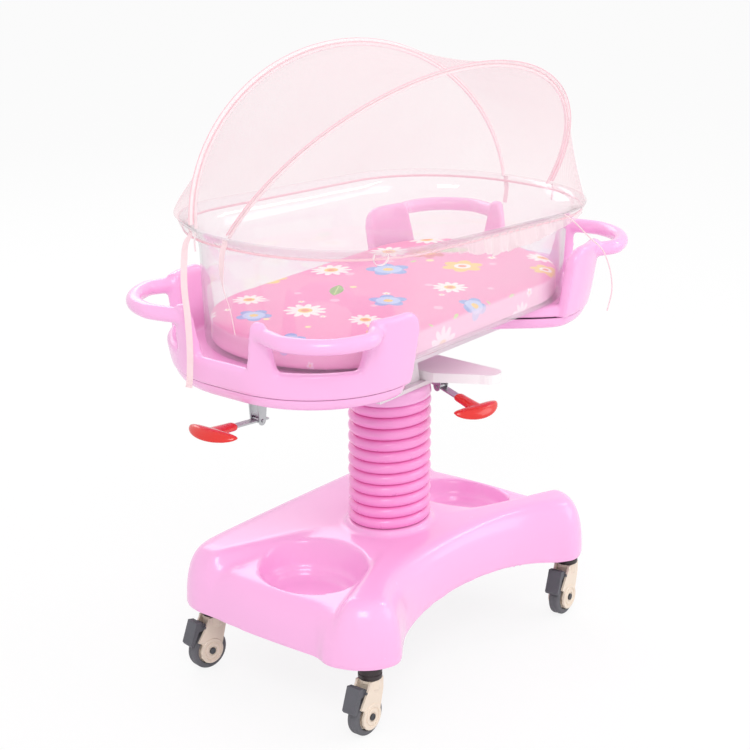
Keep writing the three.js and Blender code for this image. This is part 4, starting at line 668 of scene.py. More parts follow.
def add_floor():
    half = 40000
    corners = [(-half, -half, 0), (half, -half, 0), (half, half, 0), (-half, half, 0)]
    floor = new_object("floor", corners, [(0, 1, 2, 3)])
    mat = bpy.data.materials.new("floor")
    mat.use_nodes = True
    tree = mat.node_tree
    tree.nodes.clear()
    matt = add(tree, "ShaderNodeBsdfDiffuse")
    matt.inputs[0].default_value = (0.93, 0.93, 0.93, 1)
    glow = add(tree, "ShaderNodeEmission")
    blend = add(tree, "ShaderNodeMixShader")
    out = add(tree, "ShaderNodeOutputMaterial")
    tree.links.new(math_node(tree, "MULTIPLY", seen_directly(tree), 0.86), blend.inputs[0])
    tree.links.new(matt.outputs[0], blend.inputs[1])
    tree.links.new(glow.outputs[0], blend.inputs[2])
    tree.links.new(blend.outputs[0], out.inputs[0])
    dress(floor, mat)


AMBIENT = 0.78


def add_world():
    world = bpy.data.worlds.new("studio")
    bpy.context.scene.world = world
    world.use_nodes = True
    tree = world.node_tree
    sky = tree.nodes["Background"]
    sky.inputs[0].default_value = (1, 1, 1, 1)
    tree.links.new(math_node(tree, "MULTIPLY_ADD", seen_directly(tree), 1 - AMBIENT, AMBIENT), sky.inputs[1])


add_camera()
add_world()
add_floor()
add_lamp("key", (-2.6, -2.2, 3.4), (0, 0, 0.6), (1.6, 1.6), 58)
add_lamp("fill", (2.4, -3.0, 2.0), (0, 0, 0.5), (2.4, 2.0), 26)
add_lamp("back", (1.6, 2.8, 2.6), (0, 0, 0.7), (2.4, 1.6), 26)
add_lamp("strip", (2.3, -1.0, 2.6), (0, 0, 0.8), (0.2, 1.2), 9)
bpy.context.scene.view_settings.view_transform = "Standard"


# Basin rim, as the tapes and the net use it

def rounded_outline(half, corner, offset, steps):
    """Plan of a rounded rectangle grown by an offset: places and outward normals."""
    places, normals = [], []
    for quadrant in range(4):
        sx = 1 if quadrant in (0, 3) else -1
        sy = 1 if quadrant < 2 else -1
        for angle in (quadrant + np.arange(steps + 1) / steps) * math.pi / 2:
            n = (math.cos(angle), math.sin(angle))
            places.append((sx * (half[0] - corner) + (corner + offset) * n[0],
                           sy * (half[1] - corner) + (corner + offset) * n[1]))
            normals.append(n)
    return np.array(places), np.array(normals)


def basin_z(x, level):
    return BASIN_BOTTOM + level - RIM_SLOPE * x * (level / BASIN_HEIGHT) ** 2


def basin_ring(offset, level, steps=24):
    plan, _ = rounded_outline(BASIN_HALF, BASIN_CORNER, offset, steps)
    return np.column_stack([plan, basin_z(plan[:, 0], level)])


# Tapes and tie cord: their routes repeat those of the solids

LONG_TAPE_Y = 103.5
LONG_TAPE = [(-440, 92, 862), (-464, 74, 832), (-479, 60, 800), (-484, 50, 755),
             (-484, 47, 700), (-482, 51, 650), (-481, 55, 630)]
SHORT_TAPE_Y = 10
SHORT_TAPE = [(-439, 10, 862), (-441, 11, 836), (-441, 9, 806), (-440, -5, 767), (-440, -15, 726)]
TIE_CORD_X = 192
TIE_CORD = [(216, -255, 826), (258, -262, 790), (296, -267, 760), (318, -268, 730),
            (332, -268, 700), (336, -268, 668), (322, -268, 634)]
TAPE_HALF = (5.5, 0.5)
CORD_RADIUS = 1.25
# Small ties at the hem: Y on the rim, head (-1) or foot (1) end, and the shape below the rim's edge
TIE_GAP = 4
STRAIGHT_TIE = [(0, 1), (1, -10), (2, -25), (0, -42), (-2, -54)]
SHORT_TIE = [(0, 1), (2, -9), (1, -20), (-2, -31)]
LOOP_TIE = [(-14, -3), (-15, -11), (-9, -19), (0, -21), (8, -18), (12, -10), (10, -3)]


def rim_edge(y, end=-1):
    """The rim's outer edge at the head (-1) or foot (1): place, outward normal and direction along the edge."""
    radius = BASIN_CORNER + RIM_FLARE
    straight = BASIN_HALF[1] - BASIN_CORNER
    beyond = y - min(max(y, -straight), straight)
    reach = math.sqrt(radius ** 2 - beyond ** 2)
    x = end * (BASIN_HALF[0] - BASIN_CORNER + reach)
    normal = np.array((end * reach / radius, beyond / radius, 0))
    place = np.array((x, y, basin_z(x, BASIN_HEIGHT - BASIN_WALL)))
    return place, normal, np.array((normal[1], -normal[0], 0))


def ribbon(name, path, across, half, twist_deg=0.0, turns=(0.04, 0.3)):
    """A soft flat tape: slightly cupped, and turned round between two shares of its length."""
    path = np.array(path, float)
    ahead = np.gradient(path, axis=0)
    ahead /= np.linalg.norm(ahead, axis=1)[:, None]
    stations = np.linspace(-1, 1, 7)
    rings = []
    for i, (p, t) in enumerate(zip(path, ahead)):
        share = i / (len(path) - 1)
        side = across - t * across.dot(t)
        side /= np.linalg.norm(side)
        out = np.cross(t, side)
        turn = math.radians(twist_deg) * float(smoothstep(share, *turns))
        side, out = side * math.cos(turn) + out * math.sin(turn), out * math.cos(turn) - side * math.sin(turn)
        cup = 0.5 * math.sin(share * 9) * (1 - stations ** 2)
        top = [p + side * s * half[0] + out * (half[1] + c) for s, c in zip(stations, cup)]
        under = [p + side * s * half[0] + out * (-half[1] + c) for s, c in zip(stations, cup)]
        rings.append(top + under[::-1])
    return loft(name, rings, sharp=60)


def declare_cord(path):
    points = to_frame(path)


def add_tape(name, node, y, route, twist, turns):
    place, normal, along = rim_edge(y)
    start = place + normal * (TAPE_HALF[1] + 0.3)
    path = spline([start, start + (0, 0, -8), *route], 60)
    piece = stand_for(ribbon(name, path, along, TAPE_HALF, twist, turns), tape_look, "bed", node, slot="tape_cloth")
    declare_cord(path)


def add_tie(name, y, end, shape, flat, half):
    """A small tie on the hem: its shape is (along the edge, height), and a flat one lies against the hem."""
    place, normal, along = rim_edge(y, end)
    outs = np.linspace(TIE_GAP, TIE_GAP + 2, len(shape))
    path = spline([place + normal * o + along * a + (0, 0, z) for o, (a, z) in zip(outs, shape)], 10 * len(shape))
    piece = stand_for(ribbon(name, path, along if flat else normal, half), piping, "bed", slot="tape_cloth")
    declare_cord(path)


def add_tie_cord():
    rim_y = -(BASIN_HALF[1] + RIM_FLARE + CORD_RADIUS + 0.3)
    start = (TIE_CORD_X, rim_y, basin_z(TIE_CORD_X, BASIN_HEIGHT - BASIN_WALL))
    path = spline([start, *TIE_CORD], 60)
    piece = stand_for(loft("tie_cord_soft", tube_rings(path, CORD_RADIUS, 10)), tape_look, "bed", "tie_cord",
                      slot="tape_cloth")
    declare_cord(path)


add_tape("tape_long_soft", "tape_long", LONG_TAPE_Y, LONG_TAPE, -55, (0.04, 0.3))
add_tape("tape_short_soft", "tape_short", SHORT_TAPE_Y, SHORT_TAPE, 44, (0.25, 0.55))
add_tie_cord()
add_tie("foot_left_tie", 45, 1, STRAIGHT_TIE, True, (4.5, 0.4))
add_tie("foot_right_tie", -65, 1, SHORT_TIE, True, (2.5, 0.4))
add_tie("near_loop_tie", -218, -1, LOOP_TIE, False, (2.5, 0.4))
add_tie("head_left_tie", 80, -1, SHORT_TIE, True, (2.5, 0.4))


# Base cover: a lofted skin over the plan, with bowls sunk in and every edge eased

def base_outline(count):
    half = spline(BASE_PLAN, 400)
    other = half[1:-1][::-1] * (-1, 1)
    return arc_resample(np.vstack([half, other]), count, closed=True)


def inset(outline, distance):
    """Moves a closed plan inwards in small steps, easing it so that tight corners stay open."""
    steps = max(1, math.ceil(distance / 2))
    for _ in range(steps):
        ahead = np.roll(outline, -1, 0) - np.roll(outline, 1, 0)
        ahead /= np.linalg.norm(ahead, axis=1)[:, None]
        outline = outline + np.column_stack([-ahead[:, 1], ahead[:, 0]]) * (distance / steps)
        outline = 0.8 * outline + 0.1 * (np.roll(outline, 1, 0) + np.roll(outline, -1, 0))
        outline = arc_resample(outline, len(outline), closed=True)
    return outline


def base_foot(x):
    return BASE_BOTTOM + BASE_ARCH * np.maximum(0, 1 - (x / BASE_ARCH_HALF) ** 2)


def base_crest(x, y):
    along = smoothstep(np.abs(x), *TROUGH_SPAN)
    edge = TROUGH_HALF + (np.abs(x) - TROUGH_SPAN[0]) * TROUGH_SPREAD
    across = 1 - smoothstep(np.abs(y) - edge, -13, 14)
    return BASE_CREST - TROUGH_DEPTH * along * across


def oval_ring(cx, a, b, z, sides=72):
    angles = np.arange(sides) / sides * 2 * math.pi
    return np.column_stack([cx + a * np.cos(angles), b * np.sin(angles), np.full(sides, z)])


def bowl_plug(cx):
    rings = []
    for share in np.linspace(0, 1, 7):
        drop = 16 * (1 - math.sqrt(1 - (1 - share) ** 2))
        rings.append(oval_ring(cx, BOWL_TOP[0] - BOWL_DRAFT - drop, BOWL_TOP[1] - BOWL_DRAFT - drop,
                               BOWL_FLOOR + 16 * share))
    for share in np.linspace(0.25, 1.25, 5):
        rings.append(oval_ring(cx, BOWL_TOP[0] - BOWL_DRAFT * (1 - share), BOWL_TOP[1] - BOWL_DRAFT * (1 - share),
                               BOWL_FLOOR + (BASE_CREST - BOWL_FLOOR) * share))
    return loft("bowl_plug", rings)


def base_skin():
    plan = base_outline(260)
    foot = base_foot(plan[:, 0])
    rings = [np.column_stack([plan, foot])]
    done = 0.0
    for reach in (0.6, 1.6, 3, 5, 8, 12, 17, 23, 30, 38, 47):
        plan = inset(plan, reach - done)
        done = reach
        share = (1 - (1 - reach / SHOULDER_REACH) ** SHOULDER_POWER) ** (1 / SHOULDER_POWER)
        foot = base_foot(plan[:, 0])
        rings.append(np.column_stack([plan, foot + (base_crest(plan[:, 0], plan[:, 1]) - foot) * share]))
    for share in np.linspace(0.96, 0.04, 24):
        flat = plan * share
        rings.append(np.column_stack([flat, base_crest(flat[:, 0], flat[:, 1])]))
    skin = loft("base_cover_moulded", rings)
    for side in (-1, 1):
        boolean(skin, bowl_plug(side * BOWL_CENTRE), "DIFFERENCE")
    boss = loft("boss", [oval_ring(0, BELLOWS_HALF[0] + 9, BELLOWS_HALF[1] + 9, BASE_CREST - 6),
                         oval_ring(0, BELLOWS_HALF[0] + 2, BELLOWS_HALF[1] + 2, BOSS_TOP)])
    boolean(skin, boss, "UNION")
    melt(skin, 4, 5)
    boolean(skin, loft("hole", [oval_ring(0, COLUMN_HOLE, COLUMN_HOLE, z) for z in (100, 300)]), "DIFFERENCE")
    open_below(skin)
    wall = skin.modifiers.new("wall", "SOLIDIFY")
    wall.thickness = BASE_WALL / 1000
    wall.offset = -1
    apply_modifiers(skin)
    smooth(skin, 60)
    return skin


FOOT_BAND = 14
FOOT_EASING = 8


def above_foot(place):
    """Height of a place in the frame over the cover's arched foot, in millimetres."""
    return place.z * 1000 - base_foot(place.x * 1000 - SHIFT_X)


def even_foot(bm):
    """Evens the stepped edge that the opening leaves, and sets it on the arched foot."""
    rim = [v for v in bm.verts if v.is_boundary and above_foot(v.co) < FOOT_BAND]
    beside = [[e.other_vert(v) for e in v.link_edges if e.is_boundary] for v in rim]
    for _ in range(FOOT_EASING):
        eased = [v.co.lerp(sum((n.co for n in near), Vector()) / len(near), 0.5) for v, near in zip(rim, beside)]
        for v, place in zip(rim, eased):
            v.co = place
    for v in rim:
        v.co.z -= above_foot(v.co) / 1000


def open_below(obj):
    """Takes away the faces that look down, so that the moulding is a shell."""
    bm = bmesh.new()
    bm.from_mesh(obj.data)
    low = [f for f in bm.faces if f.normal.z < -0.6 and above_foot(f.calc_center_median()) < FOOT_BAND]
    bmesh.ops.delete(bm, geom=low, context="FACES")
    even_foot(bm)
    inner = [f for f in bm.faces if f.calc_center_median().xy.length * 1000 < COLUMN_HOLE + 8
             and abs((f.calc_center_median().xy - Vector((SHIFT_X / 1000, 0))).length * 1000 - COLUMN_HOLE) < 1
             and abs(f.normal.z) < 0.2]
    bmesh.ops.delete(bm, geom=inner, context="FACES")
    bm.to_mesh(obj.data)
    bm.free()


stand_for(base_skin(), pink, "base", "base_cover", slot="pink_shell")


# Bellows and its collar

def bellows():
    z0, z1 = BELLOWS_SPAN
    pitch = (z1 - z0) / BELLOWS_RIBS
    rings, groove_shade = [], []
    per_rib = 12
    for i in range(BELLOWS_RIBS * per_rib + 1):
        phase = (i % per_rib) / per_rib
        bulge = math.sin(math.pi * phase) ** 0.55 if 0 < phase < 1 else 0.0
        inset_mm = BELLOWS_DEPTH * (1 - bulge)
        rings.append(oval_ring(0, BELLOWS_HALF[0] - inset_mm, BELLOWS_HALF[1] - inset_mm, z0 + pitch * i / per_rib, 96))
        # Painted groove shade weight for the colour: 1 down in each groove and on the bore, 0 on the crests.
        groove_shade += [(1 - bulge) ** 1.5] * 96
    bore = BELLOWS_DEPTH + 3
    for z in np.linspace(z1, z0, 24):
        rings.append(oval_ring(0, BELLOWS_HALF[0] - bore, BELLOWS_HALF[1] - bore, z, 96))
        groove_shade += [1.0] * 96
    obj = loft("bellows_ribbed", rings, joined=True, sharp=75)
    # Stores the painted groove shade that the bellows colour reads.
    paint = obj.data.attributes.new("groove_shade", "FLOAT", "POINT")
    paint.data.foreach_set("value", groove_shade)
    dress(obj, bellows_pink)
    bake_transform(obj)
    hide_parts("bellows")


def bellows_collar():
    low, high = COLLAR_SPAN
    profile = [(12, low), (3, low), (1, low + 1.5), (0, low + 5), (0.5, low + 10), (2, high - 5), (4, high - 1.5),
               (7, high), (12, high)]
    rings = [oval_ring(0, BELLOWS_HALF[0] - d, BELLOWS_HALF[1] - d, z, 96) for d, z in profile]
    return loft("bellows_collar_moulded", rings, joined=True, sharp=50)


bellows()
stand_for(bellows_collar(), pink, "lift", "bellows_collar", slot="pink_shell")


# Tray

def tray_plan(offset, steps=20, waist_steps=40):
    """Dog-bone plan: rounded ends, and long sides drawn in to a waist."""
    ends, _ = rounded_outline(TRAY_HALF, TRAY_CORNER, offset, steps)
    shoulder = TRAY_HALF[0] - TRAY_CORNER
    quarter = steps + 1

    def waist(sign):
        x = sign * shoulder * (1 - 2 * np.arange(1, waist_steps) / waist_steps)
        share = smoothstep(np.abs(x), TRAY_WAIST_HALF, shoulder)
        return np.column_stack([x, sign * (TRAY_WAIST + offset + (TRAY_HALF[1] - TRAY_WAIST) * share)])

    return np.vstack([ends[:quarter], waist(1), ends[quarter:3 * quarter], waist(-1), ends[3 * quarter:]])


def tray_ring(offset, z):
    plan = tray_plan(offset)
    return np.column_stack([plan, np.full(len(plan), z)])


def tray_lower():
    top = PARTING_Z - 0.3
    profile = [(-20, TRAY_BOTTOM), (-15, TRAY_BOTTOM + 0.8), (-11.5, TRAY_BOTTOM + 3.2), (-8, TRAY_BOTTOM + 8),
               (-5, top - 7), (-3.6, top - 3), (-3, top), (-8, top), (-13, TRAY_BOTTOM + 8), (-17, TRAY_BOTTOM + 5)]
    return loft("tray_lower_moulded", [tray_ring(o, z) for o, z in profile], sharp=50)


def ear_flare(z):
    return EAR_FLARE * max(0, (z - PARTING_Z) / EAR_RISE) ** 0.8


def wall_place(distance):
    """Walks the head end's wall line from its middle: a place and its outward normal."""
    straight = TRAY_HALF[1] - TRAY_CORNER
    arc = TRAY_CORNER * math.pi / 2
    along, side = abs(distance), 1 if distance >= 0 else -1
    if along <= straight:
        return np.array((-TRAY_HALF[0], side * along)), np.array((-1.0, 0.0))
    if along <= straight + arc:
        angle = (along - straight) / TRAY_CORNER
        n = np.array((-math.cos(angle), side * math.sin(angle)))
        return np.array((-(TRAY_HALF[0] - TRAY_CORNER), side * straight)) + TRAY_CORNER * n, n
    x = -(TRAY_HALF[0] - TRAY_CORNER) + along - straight - arc
    return np.array((x, side * TRAY_HALF[1])), np.array((0.0, side))


EAR_LENGTH = (TRAY_HALF[1] - TRAY_CORNER) + TRAY_CORNER * math.pi / 2 + (TRAY_HALF[0] - TRAY_CORNER - EAR_END_X)
SLOT_START = END_GAP + EAR_POST
SLOT_END = EAR_LENGTH - EAR_SIDE_POST


def wall_top(distance):
    """Wall-top height: low gap at the middle, post, sill under the bar, and the side post."""
    d = abs(distance)
    post = smoothstep(d, END_GAP - 7, END_GAP + 14) * (1 - smoothstep(d, SLOT_START - 14, SLOT_START + 7))
    side = smoothstep(d, SLOT_END - 7, SLOT_END + 14)
    past = max(0, d - (EAR_LENGTH - 34))
    rounded = 34 - math.sqrt(max(0, 34 ** 2 - past ** 2))
    return PARTING_Z + EAR_SILL + (EAR_RISE - EAR_SILL) * float(max(post, side)) - rounded


def wall_section(distance):
    place, normal = wall_place(distance)
    top = wall_top(distance)
    r = EAR_WALL * 0.42

    def at(out, z):
        reach = ear_flare(z) + out
        return (*(place + normal * reach), z)

    outer = [at(0, z) for z in np.linspace(PARTING_Z, top - r, 12)]
    lip = [at(-EAR_WALL / 2 + (EAR_WALL / 2) * math.cos(a), top - r + r * math.sin(a))
           for a in np.linspace(0.2, math.pi - 0.2, 8)]
    inner = [at(-EAR_WALL, z) for z in np.linspace(top - r, PARTING_Z, 12)]
    return outer + lip + inner


def handle_route(side):
    z = PARTING_Z + BAR_RISE
    flare = ear_flare(z)
    reach = flare + BAR_REACH - BAR_RADIUS
    half = (TRAY_HALF[0] + reach, TRAY_HALF[1] + reach)

    def in_post(distance):
        place, normal = wall_place(distance)
        spot = place + normal * (flare - EAR_WALL / 2)
        return (spot[0], side * spot[1], z)

    corner = [(-(half[0] - BAR_CORNER) - BAR_CORNER * math.cos(a),
               side * (half[1] - BAR_CORNER + BAR_CORNER * math.sin(a)), z)
              for a in np.linspace(0, math.pi / 2, 7)]
    return spline([in_post(END_GAP + EAR_POST / 2), *corner, in_post(SLOT_END + EAR_POST / 2)], 64)


def tray_upper():
    stations = np.concatenate([np.linspace(-EAR_LENGTH, EAR_LENGTH, 261)])
    sections = np.array([wall_section(d) for d in stations])
    bars = [tube_rings(handle_route(side), BAR_RADIUS, 24) for side in (1, -1)]
    skirt = [(-4, PARTING_Z), (-4, FLOOR_TOP - 4), (-12, FLOOR_TOP - 2), (-12, PARTING_Z)]
    solids = [loft("floor_plate", [tray_ring(-EAR_WALL / 2, z) for z in (FLOOR_TOP - FLOOR_THICKNESS, FLOOR_TOP)]),
              loft("skirt", [tray_ring(offset, z) for offset, z in skirt], joined=True)]
    for turn in (1, -1):
        flip = np.array((turn, turn, 1))
        solids.append(loft("wall", sections * flip))
        solids += [loft("bar", [r * flip for r in bar]) for bar in bars]
    return melt(join("tray_upper_moulded", solids), 3.6, 5)


stand_for(tray_lower(), pink, "bed", "tray_lower", slot="pink_shell")
stand_for(tray_upper(), pink, "bed", "tray_upper", slot="pink_shell")


# Basin

def basin():
    top, wall, lip = BASIN_HEIGHT, BASIN_WALL, RIM_FLARE - RIM_LIP
    outside = [(-16, 0), (-12, 0.8), (-9, 2.5), (-7, 5), (-6, 9), (-3, 80), (0, top - 46), (2, top - 36), (6, top - 26),
               (13, top - 15), (lip, top - wall - RIM_FALL), (RIM_FLARE - 4, top - wall - 2), (RIM_FLARE, top - wall)]
    inside = [(RIM_FLARE - 1, top), (RIM_FLARE - 5, top - 2), (lip - 1, top - RIM_FALL), (12, top - 13), (6 - wall, top - 24),
              (2 - wall, top - 34), (-wall, top - 44), (-3 - wall, 80), (-6 - wall, 9), (-7.5 - wall, 6), (-9 - wall, wall + 1.5), (-16, wall)]
    return loft("basin_clear", [basin_ring(o, level) for o, level in outside + inside], sharp=60)


stand_for(basin(), acrylic, "bed", "basin", slot="clear_plastic")


# Mattress: a foam pad in a printed cover, swollen by a short simulation

def mattress_ring(offset, z):
    plan, _ = rounded_outline(BASIN_HALF, BASIN_CORNER, offset, 18)
    return np.column_stack([plan, np.full(len(plan), z)])


def puff(obj, voxel_mm, pressure, cap_mm, frames=16):
    """Swells a pad with cloth pressure, and limits how far any point moves."""
    mod = obj.modifiers.new("remesh", "REMESH")
    mod.mode = "VOXEL"
    mod.voxel_size = voxel_mm / 1000
    apply_modifiers(obj)
    rest = np.array([v.co for v in obj.data.vertices])
    soft = obj.modifiers.new("cloth", "CLOTH")
    soft.settings.use_pressure = True
    soft.settings.uniform_pressure_force = pressure
    soft.settings.quality = 4
    soft.settings.effector_weights.gravity = 0
    scene = bpy.context.scene
    for number in range(1, frames + 1):
        scene.frame_set(number)
    moved = np.array([v.co for v in obj.evaluated_get(bpy.context.evaluated_depsgraph_get()).data.vertices])
    scene.frame_set(1)
    obj.modifiers.clear()
    step = moved - rest
    far = np.linalg.norm(step, axis=1)[:, None]
    step *= np.minimum(1, cap_mm / 1000 / np.maximum(far, 1e-9))
    obj.data.vertices.foreach_set("co", (rest + step).ravel())
    obj.data.update()


def mattress():
    z0, z1 = MATTRESS_SPAN
    edge = MATTRESS_EDGE
    side = [(8, 1), (4, 3), (2.5, 8), (4.5, (z1 - z0) / 2), (2.5, z1 - z0 - 9), (4, z1 - z0 - 4),
            (9, z1 - z0 - 1.5)]
    rings = [mattress_ring(edge - inward, z0 + rise) for inward, rise in side]
    for inward in (24, 45, 70, 100, 130, 160, 180):
        share = 1 - (1 - inward / BASIN_CORNER) ** 2
        rings.append(mattress_ring(edge - inward, z1 - 3 + MATTRESS_CROWN * math.sqrt(share)))
    pad = loft("mattress_pad", rings, sharp=80)
    puff(pad, 6, 3, 2)
    ease = pad.modifiers.new("ease", "SMOOTH")
    ease.iterations = 3
    fine = pad.modifiers.new("fine", "SUBSURF")
    fine.levels = fine.render_levels = 1
    apply_modifiers(pad)
    smooth(pad, 80)
    unroll(pad)
    return pad


def unroll(pad):
    """A flat layout for the print: the top as it lies, and the sides folded outwards."""
    points = np.array([v.co for v in pad.data.vertices])
    x, y, z = points.T
    corner = (np.array(BASIN_HALF) - BASIN_CORNER) / 1000
    centre_x = np.clip(x - SHIFT_X / 1000, -corner[0], corner[0]) + SHIFT_X / 1000
    centre_y = np.clip(y, -corner[1], corner[1])
    out = np.column_stack([x - centre_x, y - centre_y])
    out /= np.maximum(np.linalg.norm(out, axis=1), 1e-6)[:, None]
    drop = np.maximum(0, (MATTRESS_SPAN[1] - 4) / 1000 - z)[:, None]
    flat = np.column_stack([x, y]) + out * drop
    layer = pad.data.uv_layers.new(name="print")
    index = np.zeros(len(pad.data.loops), int)
    pad.data.loops.foreach_get("vertex_index", index)
    layer.data.foreach_set("uv", flat[index].ravel())


pad = stand_for(mattress(), printed, "bed", "mattress", slot="mattress_cloth")


# Net canopy over two hoops

RIM_SEAT = RIM_FLARE - 1


def rim_place(share, side, head_y, foot_y):
    """A place on the rim's top along one side, from the head end (0) round to the foot end (1)."""
    straight = BASIN_HALF[0] - BASIN_CORNER
    radius = BASIN_CORNER + RIM_SEAT
    centre = BASIN_HALF[1] - BASIN_CORNER
    head, foot = (math.asin((side * end + HEM_OVERLAP - centre) / radius) for end in (head_y, foot_y))
    head_arc, foot_arc = radius * (math.pi / 2 - head), radius * (math.pi / 2 - foot)
    total = head_arc + 2 * straight + foot_arc
    travel = share * total
    if travel < head_arc:
        angle, end = head + travel / radius, -1
    elif total - travel < foot_arc:
        angle, end = foot + (total - travel) / radius, 1
    else:
        return travel - head_arc - straight, side * (centre + radius)
    return end * (straight + radius * math.cos(angle)), side * (centre + radius * math.sin(angle))


def rim_top(x, y):
    return np.array((x, y, basin_z(x, BASIN_HEIGHT + 0.3)))


def hoop_place(share, hoop):
    """A place on one hoop, from head end to foot end: a half ellipse that leans to its crown."""
    lift = math.sin(share * math.pi)
    end_y = hoop["head"] + (hoop["foot"] - hoop["head"]) * share
    radius = BASIN_CORNER + RIM_SEAT
    beyond = max(0, abs(end_y) - (BASIN_HALF[1] - BASIN_CORNER))
    half = BASIN_HALF[0] - BASIN_CORNER + math.sqrt(radius ** 2 - beyond ** 2)
    x = -half * math.cos(share * math.pi)
    y = end_y + (hoop["crown"] - (hoop["head"] + hoop["foot"]) / 2) * lift
    return rim_top(x, y) + (0, 0, hoop["rise"] * lift)


def inside(p, distance):
    """Moves a point of the canopy towards the space it covers."""
    centre = np.array((p[0] * 0.75, p[1] * 0.3, BASIN_BOTTOM + BASIN_HEIGHT))
    way = centre - p
    return p + way / np.linalg.norm(way) * distance


PANEL_STEPS = 26
NET_ROWS = 150
# How far the left-hand panel stands out beside the head end
HEAD_PUFF = np.array((-9, 11, 0))


def net_row(share):
    """One cross row: left rim, left hoop, right hoop, right rim, with slack and creases that fan from the ends."""
    left_rim = rim_top(*rim_place(share, 1, HOOP_LEFT["head"], HOOP_LEFT["foot"]))
    right_rim = rim_top(*rim_place(share, -1, HOOP_RIGHT["head"], HOOP_RIGHT["foot"]))
    left, right = hoop_place(share, HOOP_LEFT), hoop_place(share, HOOP_RIGHT)
    open_share = math.sin(share * math.pi)
    slack = NET_SLACK * open_share
    row = []
    blown = HEAD_PUFF * float(smoothstep(share, 0, 0.07) * (1 - smoothstep(share, 0.14, 0.32)))
    for start, end, inward, folds, puffed in (
            (left_rim, left, (0, -0.8, -0.3), 7, blown), (left, right, (0, 0, -1), 9, 0 * blown),
            (right, right_rim, (0, 0.6, -0.5), 6, 0 * blown)):
        inward = np.array(inward)
        for i in range(PANEL_STEPS):
            t = i / PANEL_STEPS
            held = math.sin(t * math.pi)
            crease = 1.4 * math.sin(t * folds * 2 * math.pi + 5 * share) * math.exp(-5 * open_share) * held
            ripple = 0.8 * math.sin(share * 34 + 3 * t) * held ** 2 * open_share
            place = start + (end - start) * t + inward * (slack * held + abs(crease) + ripple)
            row.append(place + puffed * float(smoothstep(t, 0, 0.15) * (1 - smoothstep(t, 0.2, 0.9))))
    row.append(right_rim)
    return np.array(row)


def add_net():
    rows = [net_row(s) for s in np.linspace(0, 1, NET_ROWS + 1)]
    net = stand_for(sheet_mesh("net_canopy_sheet", rows), net_look, "bed", "canopy_net", slot="net_cloth")


def add_hoop(name, node, hoop):
    """A sprung wire in the net, and the folded tape sewn over it with a stitched edge each side."""
    path = [inside(hoop_place(s, hoop), HOOP_DROP) for s in np.linspace(0, 1, 90)]
    stand_for(loft(name, tube_rings(path, HOOP_RADIUS, 14)), piping, "bed", node, slot="hoop_wire")
    seam = [inside(hoop_place(s, hoop), -0.6) for s in np.linspace(0.006, 0.994, 110)]
    stand_for(loft(name + "_tape", tube_rings(seam, 0, 12, flat=SEAM_HALF)), piping, "bed", slot="net_cloth")
    rails = tube_rings(seam, 0, 4, flat=(SEAM_HALF[0] - 0.4, SEAM_HALF[1]))
    for corner, tag in ((0, "_stitch_a"), (2, "_stitch_b")):
        edge = [ring[corner] for ring in rails]
        stand_for(loft(name + tag, tube_rings(edge, 1.0, 8)), seam_edge, "bed", slot="net_cloth")


def rim_loop(count):
    """Plan of the whole rim as equally spaced angles, with outward normals."""
    plan, normals = rounded_outline(BASIN_HALF, BASIN_CORNER, 0, 60)
    line = arc_resample(np.column_stack([plan, normals]), count, closed=True)
    line[:, 2:] /= np.linalg.norm(line[:, 2:], axis=1)[:, None]
    return line


def add_skirt():
    """The net's gathered hem: over the rim's edge and in to an elastic, with a deep ruffle at the right-hand side."""
    x, y, nx, ny = rim_loop(1080).T
    angle = np.arange(len(x)) / len(x) * 2 * math.pi
    near = smoothstep(-y, 20, 140)
    depth = HEM_DEPTH + (np.interp(x, *np.array(RUFFLE).T) - HEM_DEPTH) * near
    full = np.clip((depth - HEM_DEPTH) / 30, 0, 1)
    gather = np.sin(angle * 96 + 1.3 * np.sin(angle * 17)) + 0.5 * np.sin(angle * 171 + 2)
    fold = np.sin(angle * 53 + 2.2 * np.sin(angle * 9)) + 0.6 * np.sin(angle * 88 + 1)
    rows, fullness = [], []
    for share in np.linspace(0, 1, 15):
        drop = depth * share
        tucked = np.minimum(drop / HEM_DEPTH, 1) ** 1.6
        below = np.maximum(drop - HEM_DEPTH, 0) / 30
        out = RIM_FLARE + 2.2 - 9 * tucked + gather * 0.5 * tucked + below * (4 + 3.4 * fold)
        level = BASIN_HEIGHT + 1 - drop + below * (2.5 * fold + gather)
        rows.append(np.column_stack([x + nx * out, y + ny * out, basin_z(x, level)]))
        fullness.append(full * smoothstep(drop, 4, 20))
    skirt = sheet_mesh("net_hem_skirt", rows, wrap=True)
    paint = skirt.data.attributes.new("fullness", "FLOAT", "POINT")
    paint.data.foreach_set("value", np.concatenate(fullness))
    stand_for(skirt, hem_look, "bed", slot="net_cloth")
    out = RIM_FLARE + 2.2 - 9
    edge = np.column_stack([x + nx * out, y + ny * out, basin_z(x, BASIN_HEIGHT + 1 - HEM_DEPTH)])
    stand_for(loft("net_hem_elastic", tube_rings(np.vstack([edge, edge[:1]]), 0, 8, flat=(1.0, 2.2))), elastic,
              "bed", slot="tape_cloth")


add_net()
add_hoop("hoop_left_sleeve", "hoop_left", HOOP_LEFT)
add_hoop("hoop_right_sleeve", "hoop_right", HOOP_RIGHT)
add_skirt()


# Casters: rounded tyres, collars and stepped ring bosses on the forks

def caster_point(place, along, across, z):
    x, y, heading = PLACES[place]
    turn = math.pi - math.radians(heading)
    return (x + along * math.cos(turn) - across * math.sin(turn), y + along * math.sin(turn) + across * math.cos(turn), z)


def lathe_across(name, place, profile, sides=48, sharp=30):
    """A lathe form about a caster's axle; the profile is (radius, distance across)."""
    angles = np.arange(sides) / sides * 2 * math.pi
    rings = [[caster_point(place, CASTER_TRAIL + r * math.cos(a), across, WHEEL_RADIUS + r * math.sin(a)) for a in angles]
             for r, across in profile]
    return loft(name, rings, joined=True, sharp=sharp)


